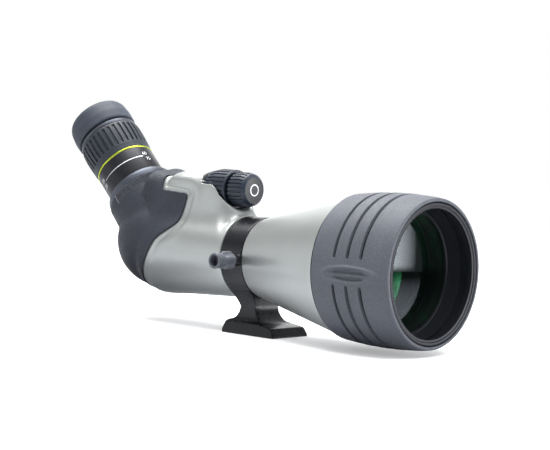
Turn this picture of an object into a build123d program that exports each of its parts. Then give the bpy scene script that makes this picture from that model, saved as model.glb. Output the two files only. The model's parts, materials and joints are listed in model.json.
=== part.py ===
from build123d import *

import os
from math import cos, pi, radians, sin, sqrt

# An angled spotting scope with an 82 mm class objective, in millimetres.
# Frame: the origin is the mouth of the tripod thread in the foot's underside.
# +X runs along the optical axis towards the objective, +Y is the scope's left
# seen from behind, and +Z is up.

# ---- Driving dimensions -----------------------------------------------------

AXIS_HEIGHT = 55.0  # optical axis above the foot's underside
RUNNING = 0.05  # radial clearance of a running fit
GAP = 0.3  # visible clearance between neighbouring faces

COLLAR_X = -8.5  # middle of the rotating collar
COLLAR_WIDTH = 20.4
COLLAR_RADIUS = 29.4
COLLAR_FRONT = COLLAR_X + COLLAR_WIDTH / 2
COLLAR_BACK = COLLAR_X - COLLAR_WIDTH / 2
NECK_RADIUS = 25.5  # barrel neck that turns in the collar
NECK_BORE = 23.3
NECK_BACK = -29.0

FOOT_LENGTH = 52.0
FOOT_WIDTH = 38.6
THREAD_RADIUS = 3.175  # 1/4 inch tripod thread
THREAD_DEPTH = 9.0
INSERT_RADIUS = 4.8
INSERT_LENGTH = THREAD_DEPTH + 1.0
LINER_OUTER = 26.6
LOCK_X = -1.5  # the lock screw sits near the collar's front edge
LOCK_HEIGHT = AXIS_HEIGHT - 1.2
SCREW_RADIUS = 2.0
LOCK_BOSS_RADIUS = 4.0
LOCK_BOSS_END = 35.0  # distances from the optical axis's plane, outwards
KNOB_BASE = 35.3
KNOB_END = 53.2

HOOD_FRONT = 150.0
HOOD_BACK = 85.7  # joint between the metal barrel and its rubber armour
HOOD_RIM = 50.0
HOOD_BELLY = 52.0
SLEEVE_RADIUS = 48.6  # barrel sleeve under the rubber armour
SLEEVE_BORE = 47.3
SLEEVE_FRONT = 147.0
LIP_BORE = SLEEVE_BORE + 0.5  # lip of the armour over the sleeve's front edge
BARREL_WALL = 2.2

LENS_RADIUS = 42.0
APERTURE_RADIUS = 40.9

ELBOW_X = -95.3  # where the eyepiece axis crosses the optical axis
EYEPIECE_ANGLE = 45.0
MOUNT_RING_START = 56.3  # distances along the eyepiece axis from the crossing
MOUNT_RING_END = 63.3
SCALE_START = 64.6
ACCENT_START = 86.0
GRIP_START = 87.8
RIBS_START = 92.2
ZOOM_RIBS = 34
GRIP_END = 114.5
EYECUP_START = 119.5
EYECUP_END = 138.5
ZOOM_MIN_DEG = -60.0
ZOOM_MAX_DEG = 80.0

KNOB_RISE = 48.3  # focus knob axis above the optical axis
KNOB_FRONT = -15.5
FINE_BACK = -31.7
COARSE_FRONT = -33.2
COARSE_RADIUS = 14.7
FINE_RADIUS = 12.9
CAP_RADIUS = 9.2
KNOB_RIBS = 26
COARSE_BACK = -55.5
POCKET_BACK = -56.5
POCKET_RADIUS = 15.8

HOUSING_WALL = 2.5
ARMOUR_THICKNESS = 1.2
SEAM_GAP = 0.35

OPTICAL = Plane(origin=(0, 0, AXIS_HEIGHT), x_dir=(0, 1, 0), z_dir=(1, 0, 0))
EYEPIECE = Plane(
    origin=(ELBOW_X, 0, AXIS_HEIGHT), x_dir=(0, -1, 0),
    z_dir=(-cos(radians(EYEPIECE_ANGLE)), 0, sin(radians(EYEPIECE_ANGLE))),
)
KNOB = Plane(origin=(0, 0, AXIS_HEIGHT + KNOB_RISE), x_dir=(0, 1, 0), z_dir=(1, 0, 0))
LOCK = Plane(origin=(LOCK_X, 0, LOCK_HEIGHT), x_dir=(1, 0, 0), z_dir=(0, -1, 0))

parts = {}

# ---- Shape helpers ----------------------------------------------------------


def turned(frame, outline):
    """A solid of revolution. The outline is (distance along the frame's Z, radius)."""
    corners = [(radius, height) for height, radius in outline]
    face = Plane.XZ * make_face(Polyline(*corners, close=True))
    return frame * revolve(face, Axis.Z)


def tube(frame, start, end, outer, inner=0.0):
    """A plain ring or, with no inner radius, a disc."""
    return turned(frame, [(start, inner), (start, outer), (end, outer), (end, inner)])


def dome(radius, height, bulge):
    """An arc from the rim at (radius, height) to the axis, standing bulge above it."""
    if abs(bulge) < 0.01:
        return Line((radius, height), (0, height))
    curve = (radius**2 + bulge**2) / (2 * abs(bulge))
    drop = curve - sqrt(curve**2 - (radius / 2) ** 2)
    middle = height + bulge - (drop if bulge > 0 else -drop)
    return ThreePointArc((radius, height), (radius / 2, middle), (0, height + bulge))


def lens(frame, back, front, radius, back_bulge, front_bulge):
    """A lens with a cylindrical edge. A positive bulge stands out towards +Z of the frame."""
    rear = dome(radius, back, back_bulge)
    face_front = dome(radius, front, front_bulge)
    edge = Line((radius, back), (radius, front))
    core = Line((0, back + back_bulge), (0, front + front_bulge))
    face = Plane.XZ * make_face(rear + edge + face_front + core)
    return frame * revolve(face, Axis.Z)


def ring_torus(frame, height, major, minor):
    """An O-ring."""
    return frame * Pos(0, 0, height) * Torus(major, minor)


def around(shape, frame, count, start=0.0):
    """Copies of a shape, spread evenly about the frame's Z."""
    turn = 360.0 / count
    return [rotated(shape, frame, start + turn * i) for i in range(count)]


def rotated(shape, frame, angle):
    return shape.rotate(Axis(frame.origin, frame.z_dir), angle)


def ribbed(body, frame, count, start, end, radius, width, depth):
    """Rounded grooves parallel to the axis, cut into a turned grip."""
    groove = frame * Pos(radius + width / 2 - depth, 0, (start + end) / 2)
    groove = groove * Cylinder(width / 2, end - start)
    return body - around(groove, frame, count)


def group(solids):
    return Compound(children=list(solids))


# ---- Foot, collar and its lock ----------------------------------------------


def foot_side_profile():
    """The foot seen from the side: a plate with sloping ends under a waisted neck."""
    half = FOOT_LENGTH / 2
    rear = Spline((-half + 3.2, 9.6), (-16.5, 12.2), (-13.5, 18.6), (COLLAR_BACK, 30.0),
                  tangents=[(1, 0.2), (-0.35, 1)])
    front = Spline((COLLAR_FRONT, 28.0), (1.9, 17.5), (6.4, 10.6), (half - 3.8, 6.6),
                   tangents=[(0, -1), (1, -0.2)])
    outline = [
        Line((-half, 0), rear @ 0),
        rear,
        Line(rear @ 1, (COLLAR_BACK, AXIS_HEIGHT)),
        Line((COLLAR_BACK, AXIS_HEIGHT), (COLLAR_FRONT, AXIS_HEIGHT)),
        Line((COLLAR_FRONT, AXIS_HEIGHT), front @ 0),
        front,
        Line(front @ 1, (half, 0)),
        Line((half, 0), (-half, 0)),
    ]
    return make_face(outline)


def foot_end_profile():
    """The foot seen from the front: the waist flares up into the collar's ring."""
    half = FOOT_WIDTH / 2
    right = Spline((half - 2.4, 8.6), (12.9, 13.0), (12.2, 20.0), (21.5, 34.5),
                   tangents=[(-1, 0.15), (1, 0.9)])
    left = Spline((-21.5, 34.5), (-12.2, 20.0), (-12.9, 13.0), (-half + 2.4, 8.6),
                  tangents=[(1, -0.9), (-1, -0.15)])
    outline = [
        Line((half, 0), right @ 0),
        right,
        Line(right @ 1, left @ 0),
        left,
        Line(left @ 1, (-half, 0)),
        Line((-half, 0), (half, 0)),
    ]
    return make_face(outline)


def foot_and_collar():
    side = Plane.XZ * foot_side_profile()
    end = Plane.YZ * foot_end_profile()
    plan = RectangleRounded(FOOT_LENGTH, FOOT_WIDTH, 3.0)
    foot = extrude(side, FOOT_WIDTH, both=True) & extrude(end, FOOT_LENGTH, both=True)
    foot = foot & extrude(plan, AXIS_HEIGHT)
    ring = tube(OPTICAL, COLLAR_BACK, COLLAR_FRONT, COLLAR_RADIUS, 20.0)
    ring = chamfer(ring.edges().filter_by(GeomType.CIRCLE).sort_by(Axis.X)[0], 0.4)
    boss = tube(LOCK, 24.0, LOCK_BOSS_END, LOCK_BOSS_RADIUS)
    boss = boss - tube(OPTICAL, COLLAR_FRONT, COLLAR_FRONT + 8, COLLAR_RADIUS)
    body = foot + ring + boss
    body = body - tube(OPTICAL, COLLAR_BACK - 5, COLLAR_FRONT + 5, LINER_OUTER + 0.02)
    body = body - tube(LOCK, 20.0, LOCK_BOSS_END + 1, SCREW_RADIUS + RUNNING)
    return body - Cylinder(INSERT_RADIUS + 0.02, 2 * INSERT_LENGTH)


def collar_liner():
    """Split-free nylon bush between the collar and the barrel's neck."""
    liner = tube(OPTICAL, COLLAR_BACK + 0.4, COLLAR_FRONT - 0.4, LINER_OUTER, NECK_RADIUS + RUNNING)
    return liner - tube(LOCK, 20.0, 30.0, SCREW_RADIUS + 0.2)


def thread_insert():
    """Steel insert that holds the tripod thread, blind at its top."""
    insert = Pos(0, 0, INSERT_LENGTH / 2) * Cylinder(INSERT_RADIUS, INSERT_LENGTH)
    return insert - Pos(0, 0, THREAD_DEPTH / 2) * Cylinder(THREAD_RADIUS, THREAD_DEPTH)


def lock_knob():
    """Hollow-ended thumb knob with five rounded lobes next to the collar's boss."""
    hollow = KNOB_END - 6.5
    knob = turned(LOCK, [
        (KNOB_BASE, SCREW_RADIUS + 0.02), (KNOB_BASE, 4.4), (KNOB_BASE + 0.9, 5.3),
        (KNOB_BASE + 3.0, 5.5), (KNOB_BASE + 9.0, 5.0), (KNOB_END - 3.2, 5.1),
        (KNOB_END - 0.8, 5.7), (KNOB_END, 5.3), (KNOB_END, 4.0), (hollow, 3.8),
        (hollow, SCREW_RADIUS + 0.02),
    ])
    lobe_radius = 2.2
    low, high = KNOB_BASE + 2.8, KNOB_BASE + 8.5
    lobe = tube(LOCK, low, high, lobe_radius)
    lobe = lobe + LOCK * Pos(0, 0, low) * Sphere(lobe_radius)
    lobe = lobe + LOCK * Pos(0, 0, high) * Sphere(lobe_radius)
    lobe = Pos(4.5, 0, 0) * lobe
    bore = tube(LOCK, KNOB_BASE - 1, hollow, SCREW_RADIUS + 0.02)
    return knob + around(lobe, LOCK, 5, start=18.0) - bore


def lock_screw():
    return tube(LOCK, 27.4, KNOB_END - 6.55, SCREW_RADIUS)


def lock_shoe():
    """Nylon pad that the screw pushes against the barrel's neck."""
    return tube(LOCK, NECK_RADIUS + 0.15, 27.35, SCREW_RADIUS - 0.05)


# ---- Barrel and objective ---------------------------------------------------

CELL_THREAD = 42.9
CELL_BACK = 87.0
CELL_FRONT = 139.0
CELL_RADIUS = 44.6
BULKHEAD = (86.0, 93.0)


def main_barrel():
    """Conical casting: neck for the collar, cone, lens bulkhead and front sleeve."""
    return turned(OPTICAL, [
        (NECK_BACK, NECK_RADIUS), (COLLAR_FRONT + GAP, NECK_RADIUS), (COLLAR_FRONT + GAP, 28.6),
        (COLLAR_FRONT + GAP + 0.4, 29.0), (HOOD_BACK - 7.0, 47.4), (HOOD_BACK - 0.5, 49.6),
        (HOOD_BACK - 0.5, SLEEVE_RADIUS), (SLEEVE_FRONT, SLEEVE_RADIUS),
        (SLEEVE_FRONT, SHADE_BODY + 0.1), (144.0, SHADE_BODY + 0.1), (144.0, SLEEVE_BORE),
        (BULKHEAD[1], SLEEVE_BORE), (BULKHEAD[1], CELL_THREAD + 0.05),
        (BULKHEAD[0], CELL_THREAD + 0.05), (BULKHEAD[0], 46.6), (5.0, 27.0),
        (1.0, NECK_BORE), (NECK_BACK, NECK_BORE),
    ])


def objective_cell():
    """Threaded lens cell with a rear shoulder and an O-ring seat."""
    return turned(OPTICAL, [
        (CELL_BACK, 39.6), (CELL_BACK, CELL_THREAD), (BULKHEAD[1] + 1.9, CELL_THREAD),
        (BULKHEAD[1] + 1.9, CELL_RADIUS), (CELL_FRONT, CELL_RADIUS), (CELL_FRONT, 43.6),
        (132.0, 42.6), (130.0, LENS_RADIUS + 0.05), (104.2, LENS_RADIUS + 0.05),
        (104.2, 39.6),
    ])


def objective_seal():
    return ring_torus(OPTICAL, BULKHEAD[1] + 0.95, (CELL_THREAD + CELL_RADIUS) / 2, 0.82)


def objective_glass():
    parts["rear_objective_lens"] = lens(OPTICAL, 104.25, 110.2, LENS_RADIUS, 2.0, 3.4)
    parts["objective_spacer"] = tube(OPTICAL, 110.6, 114.4, LENS_RADIUS, 40.2)
    parts["middle_objective_lens"] = lens(OPTICAL, 114.45, 120.4, LENS_RADIUS, 0.0, -2.7)
    parts["front_objective_lens"] = lens(OPTICAL, 120.5, 127.0, LENS_RADIUS, -2.65, 2.4)
    parts["objective_retaining_ring"] = turned(OPTICAL, [
        (127.3, LENS_RADIUS), (129.6, LENS_RADIUS), (129.6, APERTURE_RADIUS + 0.5),
        (129.0, APERTURE_RADIUS), (127.3, APERTURE_RADIUS),
    ])


GROOVE_XS = (105.6, 116.7, 127.9)
GROOVE_WIDTH = 2.2
GROOVE_DEPTH = 1.6
GROOVE_END_DEG = 11.0
LOZENGE_X = 118.7
LOZENGE_LENGTH = 42.0
LOZENGE_HEIGHT = 10.0


def hood_shell(inner, growth=0.0):
    """The armour's barrel-shaped outside, optionally grown outwards."""
    rim = 2.2
    belly = ThreePointArc(
        (HOOD_RIM + 0.2 + growth, HOOD_BACK), (HOOD_BELLY + growth, 116.5),
        (HOOD_RIM + 0.2 + growth, HOOD_FRONT - rim),
    )
    nose = ThreePointArc(belly @ 1, (HOOD_RIM - 0.4 + growth, HOOD_FRONT - 0.7),
                         (HOOD_RIM - rim + 0.4, HOOD_FRONT))
    lip = SLEEVE_FRONT + 0.05
    inside = Polyline(nose @ 1, (LIP_BORE, HOOD_FRONT), (LIP_BORE, lip), (inner, lip),
                      (inner, HOOD_BACK), belly @ 0)
    return OPTICAL * revolve(Plane.XZ * make_face([belly, nose, inside]), Axis.Z)


def hood_groove(x, side):
    """One groove over the top (side 1) or under the bottom (side -1) of the armour."""
    rim = HOOD_RIM + 3.0
    section = Plane.XZ * Pos(rim, x) * Rectangle(2 * (rim - HOOD_BELLY + GROOVE_DEPTH), GROOVE_WIDTH)
    sweep_deg = 180.0 - 2 * GROOVE_END_DEG
    cutter = Rot(0, 0, GROOVE_END_DEG) * revolve(section, Axis.Z, sweep_deg)
    if side < 0:
        cutter = Rot(0, 0, 180) * cutter
    return OPTICAL * cutter


def side_lozenge(side, length, height, depth=20.0):
    """An elliptic prism reaching out through the armour's side."""
    outer = HOOD_BELLY + 6.0
    centre = Plane(origin=(LOZENGE_X, side * (outer - depth), AXIS_HEIGHT - 1.0),
                   x_dir=(1, 0, 0), z_dir=(0, side, 0))
    return extrude(centre * Ellipse(length / 2, height / 2), depth)


def objective_armour():
    """Moulded rubber: grooves over and under, and a finger lozenge on each side."""
    armour = hood_shell(SLEEVE_RADIUS + 0.05)
    for x in GROOVE_XS:
        armour = armour - hood_groove(x, 1) - hood_groove(x, -1)
    boss = hood_shell(SLEEVE_RADIUS + 0.3, growth=0.7)
    ridge = hood_shell(SLEEVE_RADIUS + 0.3, growth=0.4)
    floor = hood_shell(SLEEVE_RADIUS + 0.3, growth=-1.0)
    for side in (-1, 1):
        rim = boss & side_lozenge(side, LOZENGE_LENGTH, LOZENGE_HEIGHT)
        well = side_lozenge(side, LOZENGE_LENGTH - 5.0, LOZENGE_HEIGHT - 3.4)
        spine = ridge & side_lozenge(side, LOZENGE_LENGTH - 9.0, 2.6)
        armour = armour + rim - (well - floor) + spine
    return armour


SHADE_BODY = 46.3
SHADE_BACK = 105.0
SHADE_MOUTH = 43.2


def sunshade_tube():
    """Pull-out shade: rear flange, thin body and a front bead."""
    return turned(OPTICAL, [
        (SHADE_BACK, 45.2), (SHADE_BACK, SLEEVE_BORE - 0.1), (SHADE_BACK + 1.2, SLEEVE_BORE - 0.1),
        (SHADE_BACK + 1.2, 46.4), (SHADE_BACK + 3.2, 46.4), (SHADE_BACK + 3.2, SLEEVE_BORE - 0.1),
        (SHADE_BACK + 4.4, SLEEVE_BORE - 0.1), (SHADE_BACK + 4.4, SHADE_BODY),
        (SLEEVE_FRONT + 0.2, SHADE_BODY), (SLEEVE_FRONT + 0.2, SLEEVE_BORE),
        (HOOD_FRONT - 1.0, SLEEVE_BORE), (HOOD_FRONT - 0.4, SLEEVE_BORE - 0.6),
        (HOOD_FRONT - 0.4, SHADE_MOUTH + 1.0), (HOOD_FRONT - 1.4, SHADE_MOUTH), (144.6, SHADE_MOUTH),
        (144.6, 45.2),
    ])


def sunshade_friction_ring():
    return tube(OPTICAL, SHADE_BACK + 1.3, SHADE_BACK + 3.1, SLEEVE_BORE - 0.06, 46.42)


def baffle(x, hole):
    """Thin light baffle that fills the cone at x."""
    cone = 29.0 - BARREL_WALL + (x - COLLAR_FRONT) * (46.9 - 27.0) / (BULKHEAD[0] - 5.0)
    rim = cone - 0.9
    return turned(OPTICAL, [(x, hole), (x, rim), (x + 3.0, rim), (x + 3.0, rim - 0.8),
                            (x + 0.8, rim - 0.8), (x + 0.8, hole)])


# ---- Prism housing and rear armour ------------------------------------------

# Cross-sections of the housing from the collar back to the elbow: position,
# radius of the round body, half-width of the hump on top, height of the hump.
HOUSING_STATIONS = (
    (COLLAR_BACK - 2.5, 30.2, 8.8, 38.0),
    (-28.0, 30.6, 14.0, 46.0),
    (-36.0, 31.0, 18.4, 57.0),
    (-48.0, 31.4, 19.2, 60.6),
    (-62.0, 31.9, 19.8, 61.8),
    (-80.0, 32.8, 22.0, 60.6),
    (-97.0, 33.8, 24.0, 57.4),
    (-113.0, 27.0, 22.0, 50.0),
)
ELBOW_CENTRE = (-109.5, 0.0, AXIS_HEIGHT + 6.0)
ELBOW_RADIUS = 34.4
NECK_TOP_RADIUS = 27.2
BLEND = 11  # larger is a sharper valley between the body and the hump


def section_radius(angle, body, width, height):
    """Polar radius of a housing section: a round body smoothly joined to a hump."""
    side = abs(sin(angle)) / width
    rise = max(cos(angle), 0.0) / height
    hump = (side**4 + rise**4) ** -0.25 if rise > 0 else 0.0
    return (body**BLEND + hump**BLEND) ** (1 / BLEND)


def housing_section(station, growth):
    x, body, width, height = station
    count = 24
    points = []
    for i in range(count):
        angle = 2 * pi * i / count
        r = section_radius(angle, body + growth, width + growth, height + growth)
        points.append((r * sin(angle), r * cos(angle)))
    return OPTICAL * Pos(0, 0, x) * make_face(Spline(*points, periodic=True))


def housing_form(growth):
    """The outside of the prism housing, grown all round by the given amount."""
    body = loft([housing_section(station, growth) for station in HOUSING_STATIONS])
    elbow = Pos(*ELBOW_CENTRE) * Sphere(ELBOW_RADIUS + growth)
    neck = turned(EYEPIECE, [
        (0, 0), (0, 30.0 + growth), (MOUNT_RING_START - 0.1, NECK_TOP_RADIUS + growth),
        (MOUNT_RING_START - 0.1, 0),
    ])
    return body + elbow + neck


def seam_region(gap):
    """Everything behind the armour's seam, seen from the side; gap moves it back."""
    front = FilletPolyline(
        (-88.0, 125.0), (-93.5, 111.0), (-91.0, 100.8), (-64.5, 98.8), (-69.0, 76.5),
        (-84.5, 64.5), (-99.5, 37.5), (-113.0, 15.0), radius=(6.0, 3.0, 2.5, 9.0, 16.0, 60.0),
    )
    outline = [front, Polyline(front @ 1, (-190, 15), (-190, 125), front @ 0)]
    region = extrude(Plane.XZ * make_face(outline), 60, both=True)
    return Pos(-gap, 0, 0) * region


def knob_pocket(extra=0.0):
    """The round pocket that the focus knobs turn in, open to the front and the top."""
    return tube(KNOB, POCKET_BACK - extra, KNOB_FRONT + 12, POCKET_RADIUS + extra)


HUMP_ROOM = (-86.5, -59.0, 110.4)  # back, front and ceiling of the room for the lead screw
HUMP_ROOM_WIDTH = 18.0


def housing_void():
    """Room for the light path, the prism and the focusing carriage."""
    wall = HOUSING_WALL
    round_void = turned(OPTICAL, [
        (NECK_BACK - 1.5, 0), (NECK_BACK - 1.5, 30.6 - wall), (-97.0, 32.8 - wall), (-97.0, 0),
    ])
    elbow = Pos(*ELBOW_CENTRE) * Sphere(ELBOW_RADIUS - wall)
    neck = tube(EYEPIECE, 5.0, 46.0, 24.0)
    back, front, top = HUMP_ROOM
    middle = Pos((back + front) / 2, 0, (AXIS_HEIGHT + top) / 2)
    hump = middle * Box(front - back, HUMP_ROOM_WIDTH, top - AXIS_HEIGHT)
    return round_void + elbow + neck + (hump - knob_pocket(extra=2.0))


def prism_housing():
    """Cast shell with a knob pocket, a front seat for the barrel and an eyepiece bore."""
    front = tube(OPTICAL, COLLAR_BACK - 6.0, COLLAR_BACK - GAP, 30.0)
    shell = housing_form(0.0) + front
    shell = shell - knob_pocket() - housing_void()
    shell = shell - tube(OPTICAL, NECK_BACK - 1.6, 0, NECK_RADIUS + 0.03)
    shell = shell - tube(EYEPIECE, 40.0, 70.0, BAYONET_RADIUS + 0.1)
    return shell - tube(KNOB, -62.0, -50.0, BUSH_RADIUS + 0.02)


def rear_armour():
    """Rubber skin over the elbow and the eyepiece neck."""
    skin = housing_form(ARMOUR_THICKNESS) - housing_form(0.02)
    skin = skin & seam_region(SEAM_GAP)
    return skin - tube(EYEPIECE, MOUNT_RING_START - 0.15, 90.0, 60.0)


# ---- Prism and focusing carriage --------------------------------------------

PRISM_FACE = ELBOW_X + 8.0  # entrance face of the roof prism
PRISM_EXIT = 5.0  # exit face along the eyepiece axis
PRISM_HALF_WIDTH = 14.0
ROD_Y = 23.0
ROD_RADIUS = 1.5


def prism_ridge():
    """The roof ridge's midpoint in X and Z, from the ray that turns by 45 degrees."""
    drop = 2 * (PRISM_FACE - ELBOW_X + PRISM_EXIT * cos(radians(45)))
    return ELBOW_X - PRISM_EXIT / cos(radians(45)), AXIS_HEIGHT - drop


def roof_prism():
    """45 degree roof prism: entrance face, exit face and a 90 degree roof below."""
    ridge_x, ridge_z = prism_ridge()
    apex_z = AXIS_HEIGHT + PRISM_EXIT / cos(radians(45)) + PRISM_FACE - ELBOW_X
    reach = 52.0
    wedge = Polyline(
        (PRISM_FACE, apex_z), (PRISM_FACE, apex_z - reach),
        (PRISM_FACE - reach * sin(radians(45)), apex_z - reach * cos(radians(45))), close=True,
    )
    body = extrude(Plane.XZ * make_face(wedge), PRISM_HALF_WIDTH, both=True)
    roof = Plane(origin=(ridge_x, 0, ridge_z), x_dir=(0, 1, 0),
                 z_dir=(sin(radians(22.5)), 0, cos(radians(22.5))))
    side = 90.0
    roof_bar = roof * Pos(0, 0, side / sqrt(2)) * Rot(0, 0, 90) * Rot(45, 0, 0) * Box(side, side, side)
    trimmed = body & roof_bar
    floor_box = Pos(ridge_x, 0, AXIS_HEIGHT - 22.5 + 30) * Box(46.0, 60.0, 60.0)
    return trimmed & floor_box


def prism_bracket():
    """Front plate with the light aperture, two cheeks beside the prism."""
    plate_x = PRISM_FACE + 0.2
    plate = Pos(plate_x + 1.5, 0, AXIS_HEIGHT - 4.0) * Box(3.0, 52.0, 40.0)
    plate = plate & tube(OPTICAL, plate_x, plate_x + 3.0, 27.5)
    plate = plate - tube(OPTICAL, plate_x - 1, plate_x + 4, 11.0)
    cheek = Pos(plate_x - 12.0, PRISM_HALF_WIDTH + 1.3, AXIS_HEIGHT - 4.0) * Box(24.0, 2.0, 26.0)
    cheeks = [cheek, mirror(cheek, Plane.XZ)]
    bracket = plate + cheeks
    for side in (-1, 1):
        bracket = bracket - rod(side, ROD_RADIUS + 0.02)
    return bracket


def rod(side, radius):
    return Pos(0, side * ROD_Y, 0) * tube(OPTICAL, PRISM_FACE + 0.3, NECK_BACK - 0.5, radius)


def prism_springs():
    """Two leaf springs that hold the prism between the cheeks."""
    leaf = Pos(PRISM_FACE - 14.0, PRISM_HALF_WIDTH + 0.15, AXIS_HEIGHT - 6.0) * Box(14.0, 0.25, 8.0)
    return group([leaf, mirror(leaf, Plane.XZ)])


CARRIAGE_BACK = -78.0
CARRIAGE_FRONT = -68.0
FOCUS_LENS_RADIUS = 16.5
SCREW_END = -84.0
LEAD_RADIUS = 3.0


def focus_carriage():
    """Lens cell on two guide rods, with an arm up to the lead screw's nut."""
    cell = tube(OPTICAL, CARRIAGE_BACK, CARRIAGE_FRONT, 19.5, FOCUS_LENS_RADIUS + 0.05)
    cell = cell + tube(OPTICAL, CARRIAGE_BACK, CARRIAGE_BACK + 2.0, 19.5, FOCUS_LENS_RADIUS - 1.2)
    middle = (CARRIAGE_BACK + CARRIAGE_FRONT) / 2
    length = CARRIAGE_FRONT - CARRIAGE_BACK
    arm = Pos(middle, 0, AXIS_HEIGHT + 31.5) * Box(length, 7.0, 25.0)
    nut = tube(KNOB, CARRIAGE_BACK, CARRIAGE_FRONT, LEAD_RADIUS + 2.6)
    carriage = cell + arm + nut
    for side in (-1, 1):
        ear = Pos(middle, side * 21.5, AXIS_HEIGHT) * Box(length, 6.0, 6.0)
        carriage = carriage + ear
    for side in (-1, 1):
        carriage = carriage - rod(side, ROD_RADIUS + RUNNING)
    carriage = carriage - tube(OPTICAL, CARRIAGE_BACK + 2.0, CARRIAGE_FRONT, FOCUS_LENS_RADIUS + 0.05)
    return carriage - tube(KNOB, CARRIAGE_BACK - 1, CARRIAGE_FRONT + 1, LEAD_RADIUS + RUNNING)


def focus_lens():
    return lens(OPTICAL, CARRIAGE_BACK + 2.05, CARRIAGE_BACK + 6.0, FOCUS_LENS_RADIUS, 1.2, -1.2)


def focus_lens_ring():
    start = CARRIAGE_BACK + 6.05
    return tube(OPTICAL, start, start + 2.0, FOCUS_LENS_RADIUS, FOCUS_LENS_RADIUS - 1.2)


# ---- Focus knobs: coarse ring, ball drive and fine knob ----------------------

BUSH_RADIUS = 8.0
HUB_RADIUS = 5.0
SHAFT_RADIUS = 1.5
BALL_RADIUS = 1.6
SUN_RADIUS = 2.4
RACE_RADIUS = SUN_RADIUS + 2 * BALL_RADIUS
BALL_PLANE = -42.0
BALL_COUNT = 4


def focus_bushing():
    """Bearing pressed in the pocket's back wall; its sleeve is the ball drive's race."""
    return turned(KNOB, [
        (-61.0, HUB_RADIUS + RUNNING), (-61.0, BUSH_RADIUS), (POCKET_BACK, BUSH_RADIUS),
        (POCKET_BACK, BUSH_RADIUS - 0.6), (-40.0, BUSH_RADIUS - 0.6),
        (-40.0, RACE_RADIUS + 0.02), (-44.5, RACE_RADIUS + 0.02), (-44.5, HUB_RADIUS + RUNNING),
    ])


def focus_lead_screw():
    """Hollow hub with the lead screw behind it and the ball cage's drive in front."""
    return turned(KNOB, [
        (SCREW_END, 0), (SCREW_END, LEAD_RADIUS - 0.5), (SCREW_END + 0.5, LEAD_RADIUS),
        (-62.0, LEAD_RADIUS), (-62.0, HUB_RADIUS), (-44.6, HUB_RADIUS),
        (-44.6, SHAFT_RADIUS + RUNNING), (-50.0, SHAFT_RADIUS + RUNNING), (-50.0, 0),
    ])


def ball_cage():
    """Ring of pockets that carries the balls and drives the lead screw's hub."""
    cage = turned(KNOB, [
        (-44.5, SUN_RADIUS + 0.3), (-44.5, RACE_RADIUS - 0.3), (-38.5, RACE_RADIUS - 0.3),
        (-38.5, 11.0), (-37.0, 11.0), (-37.0, SUN_RADIUS + 0.3),
    ])
    pocket = KNOB * Pos(SUN_RADIUS + BALL_RADIUS, 0, BALL_PLANE) * Rot(0, 90, 0)
    pocket = pocket * Cylinder(BALL_RADIUS + 0.05, 2 * BALL_RADIUS + 1.0)
    return cage - around(pocket, KNOB, BALL_COUNT)


def drive_balls():
    ball = KNOB * Pos(SUN_RADIUS + BALL_RADIUS, 0, BALL_PLANE) * Sphere(BALL_RADIUS)
    return group(around(ball, KNOB, BALL_COUNT))


def coarse_drum():
    """Plastic drum under the coarse grip, fixed to the ball cage."""
    return turned(KNOB, [
        (COARSE_BACK, 11.05), (COARSE_BACK, 12.6), (COARSE_FRONT, 12.6),
        (COARSE_FRONT, SUN_RADIUS + 0.3), (-36.9, SUN_RADIUS + 0.3), (-36.9, 11.05),
    ])


def coarse_focus_ring():
    """Ribbed rubber grip of the coarse focus."""
    grip = turned(KNOB, [
        (COARSE_BACK, 12.65), (COARSE_BACK, 14.0), (COARSE_BACK + 0.8, 14.6),
        (-40.0, COARSE_RADIUS), (COARSE_FRONT - 1.0, 14.3), (COARSE_FRONT, 13.6), (COARSE_FRONT, 12.65),
    ])
    return ribbed(grip, KNOB, KNOB_RIBS, COARSE_BACK - 1, COARSE_FRONT - 1.5, COARSE_RADIUS, 1.7, 0.8)


def fine_focus_knob():
    """Ribbed rubber knob in front, on its own shaft."""
    knob = turned(KNOB, [
        (FINE_BACK, SHAFT_RADIUS + 0.02), (FINE_BACK, 12.4), (FINE_BACK + 0.8, FINE_RADIUS),
        (-23.6, FINE_RADIUS), (-21.0, 12.75), (-18.6, 12.2), (-17.0, 11.4), (-16.0, 10.4),
        (KNOB_FRONT, 9.7), (KNOB_FRONT, CAP_RADIUS + 0.05), (-17.0, CAP_RADIUS + 0.05),
        (-17.0, 4.0), (-26.0, 4.0),
        (-26.0, SHAFT_RADIUS + 0.02),
    ])
    return ribbed(knob, KNOB, KNOB_RIBS, FINE_BACK - 1, -20.0, FINE_RADIUS, 1.7, 0.8)


def fine_focus_shaft():
    """Shaft whose thick end is the sun of the ball drive."""
    return turned(KNOB, [
        (-49.5, 0), (-49.5, SHAFT_RADIUS), (-44.4, SHAFT_RADIUS), (-44.4, SUN_RADIUS - 0.02),
        (-36.0, SUN_RADIUS - 0.02), (-36.0, SHAFT_RADIUS), (-26.0, SHAFT_RADIUS), (-26.0, 0),
    ])


def knob_screw():
    """Countersunk screw that holds the fine knob on its shaft."""
    return turned(KNOB, [(-25.95, 0), (-25.95, 3.8), (-23.5, 3.8), (-23.5, 0)])


def knob_cap():
    """Slightly domed disc that closes the fine knob."""
    return lens(KNOB, -16.95, KNOB_FRONT - 0.2, CAP_RADIUS, 0.0, 0.35)


# ---- Eyepiece ----------------------------------------------------------------

BAYONET_RADIUS = 20.4
BODY_RADIUS = 18.5
BODY_BORE = 15.6
CAM_INNER = BODY_RADIUS + RUNNING
CAM_OUTER = 21.9
PIN_RADIUS = 1.0
FIELD_GROUP = (72.0, 80.0)
VARIATOR_GROUP = (96.0, 104.0)
FIELD_TRAVEL_MM_PER_DEG = -0.06
VARIATOR_TRAVEL_MM_PER_DEG = 0.05


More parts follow.
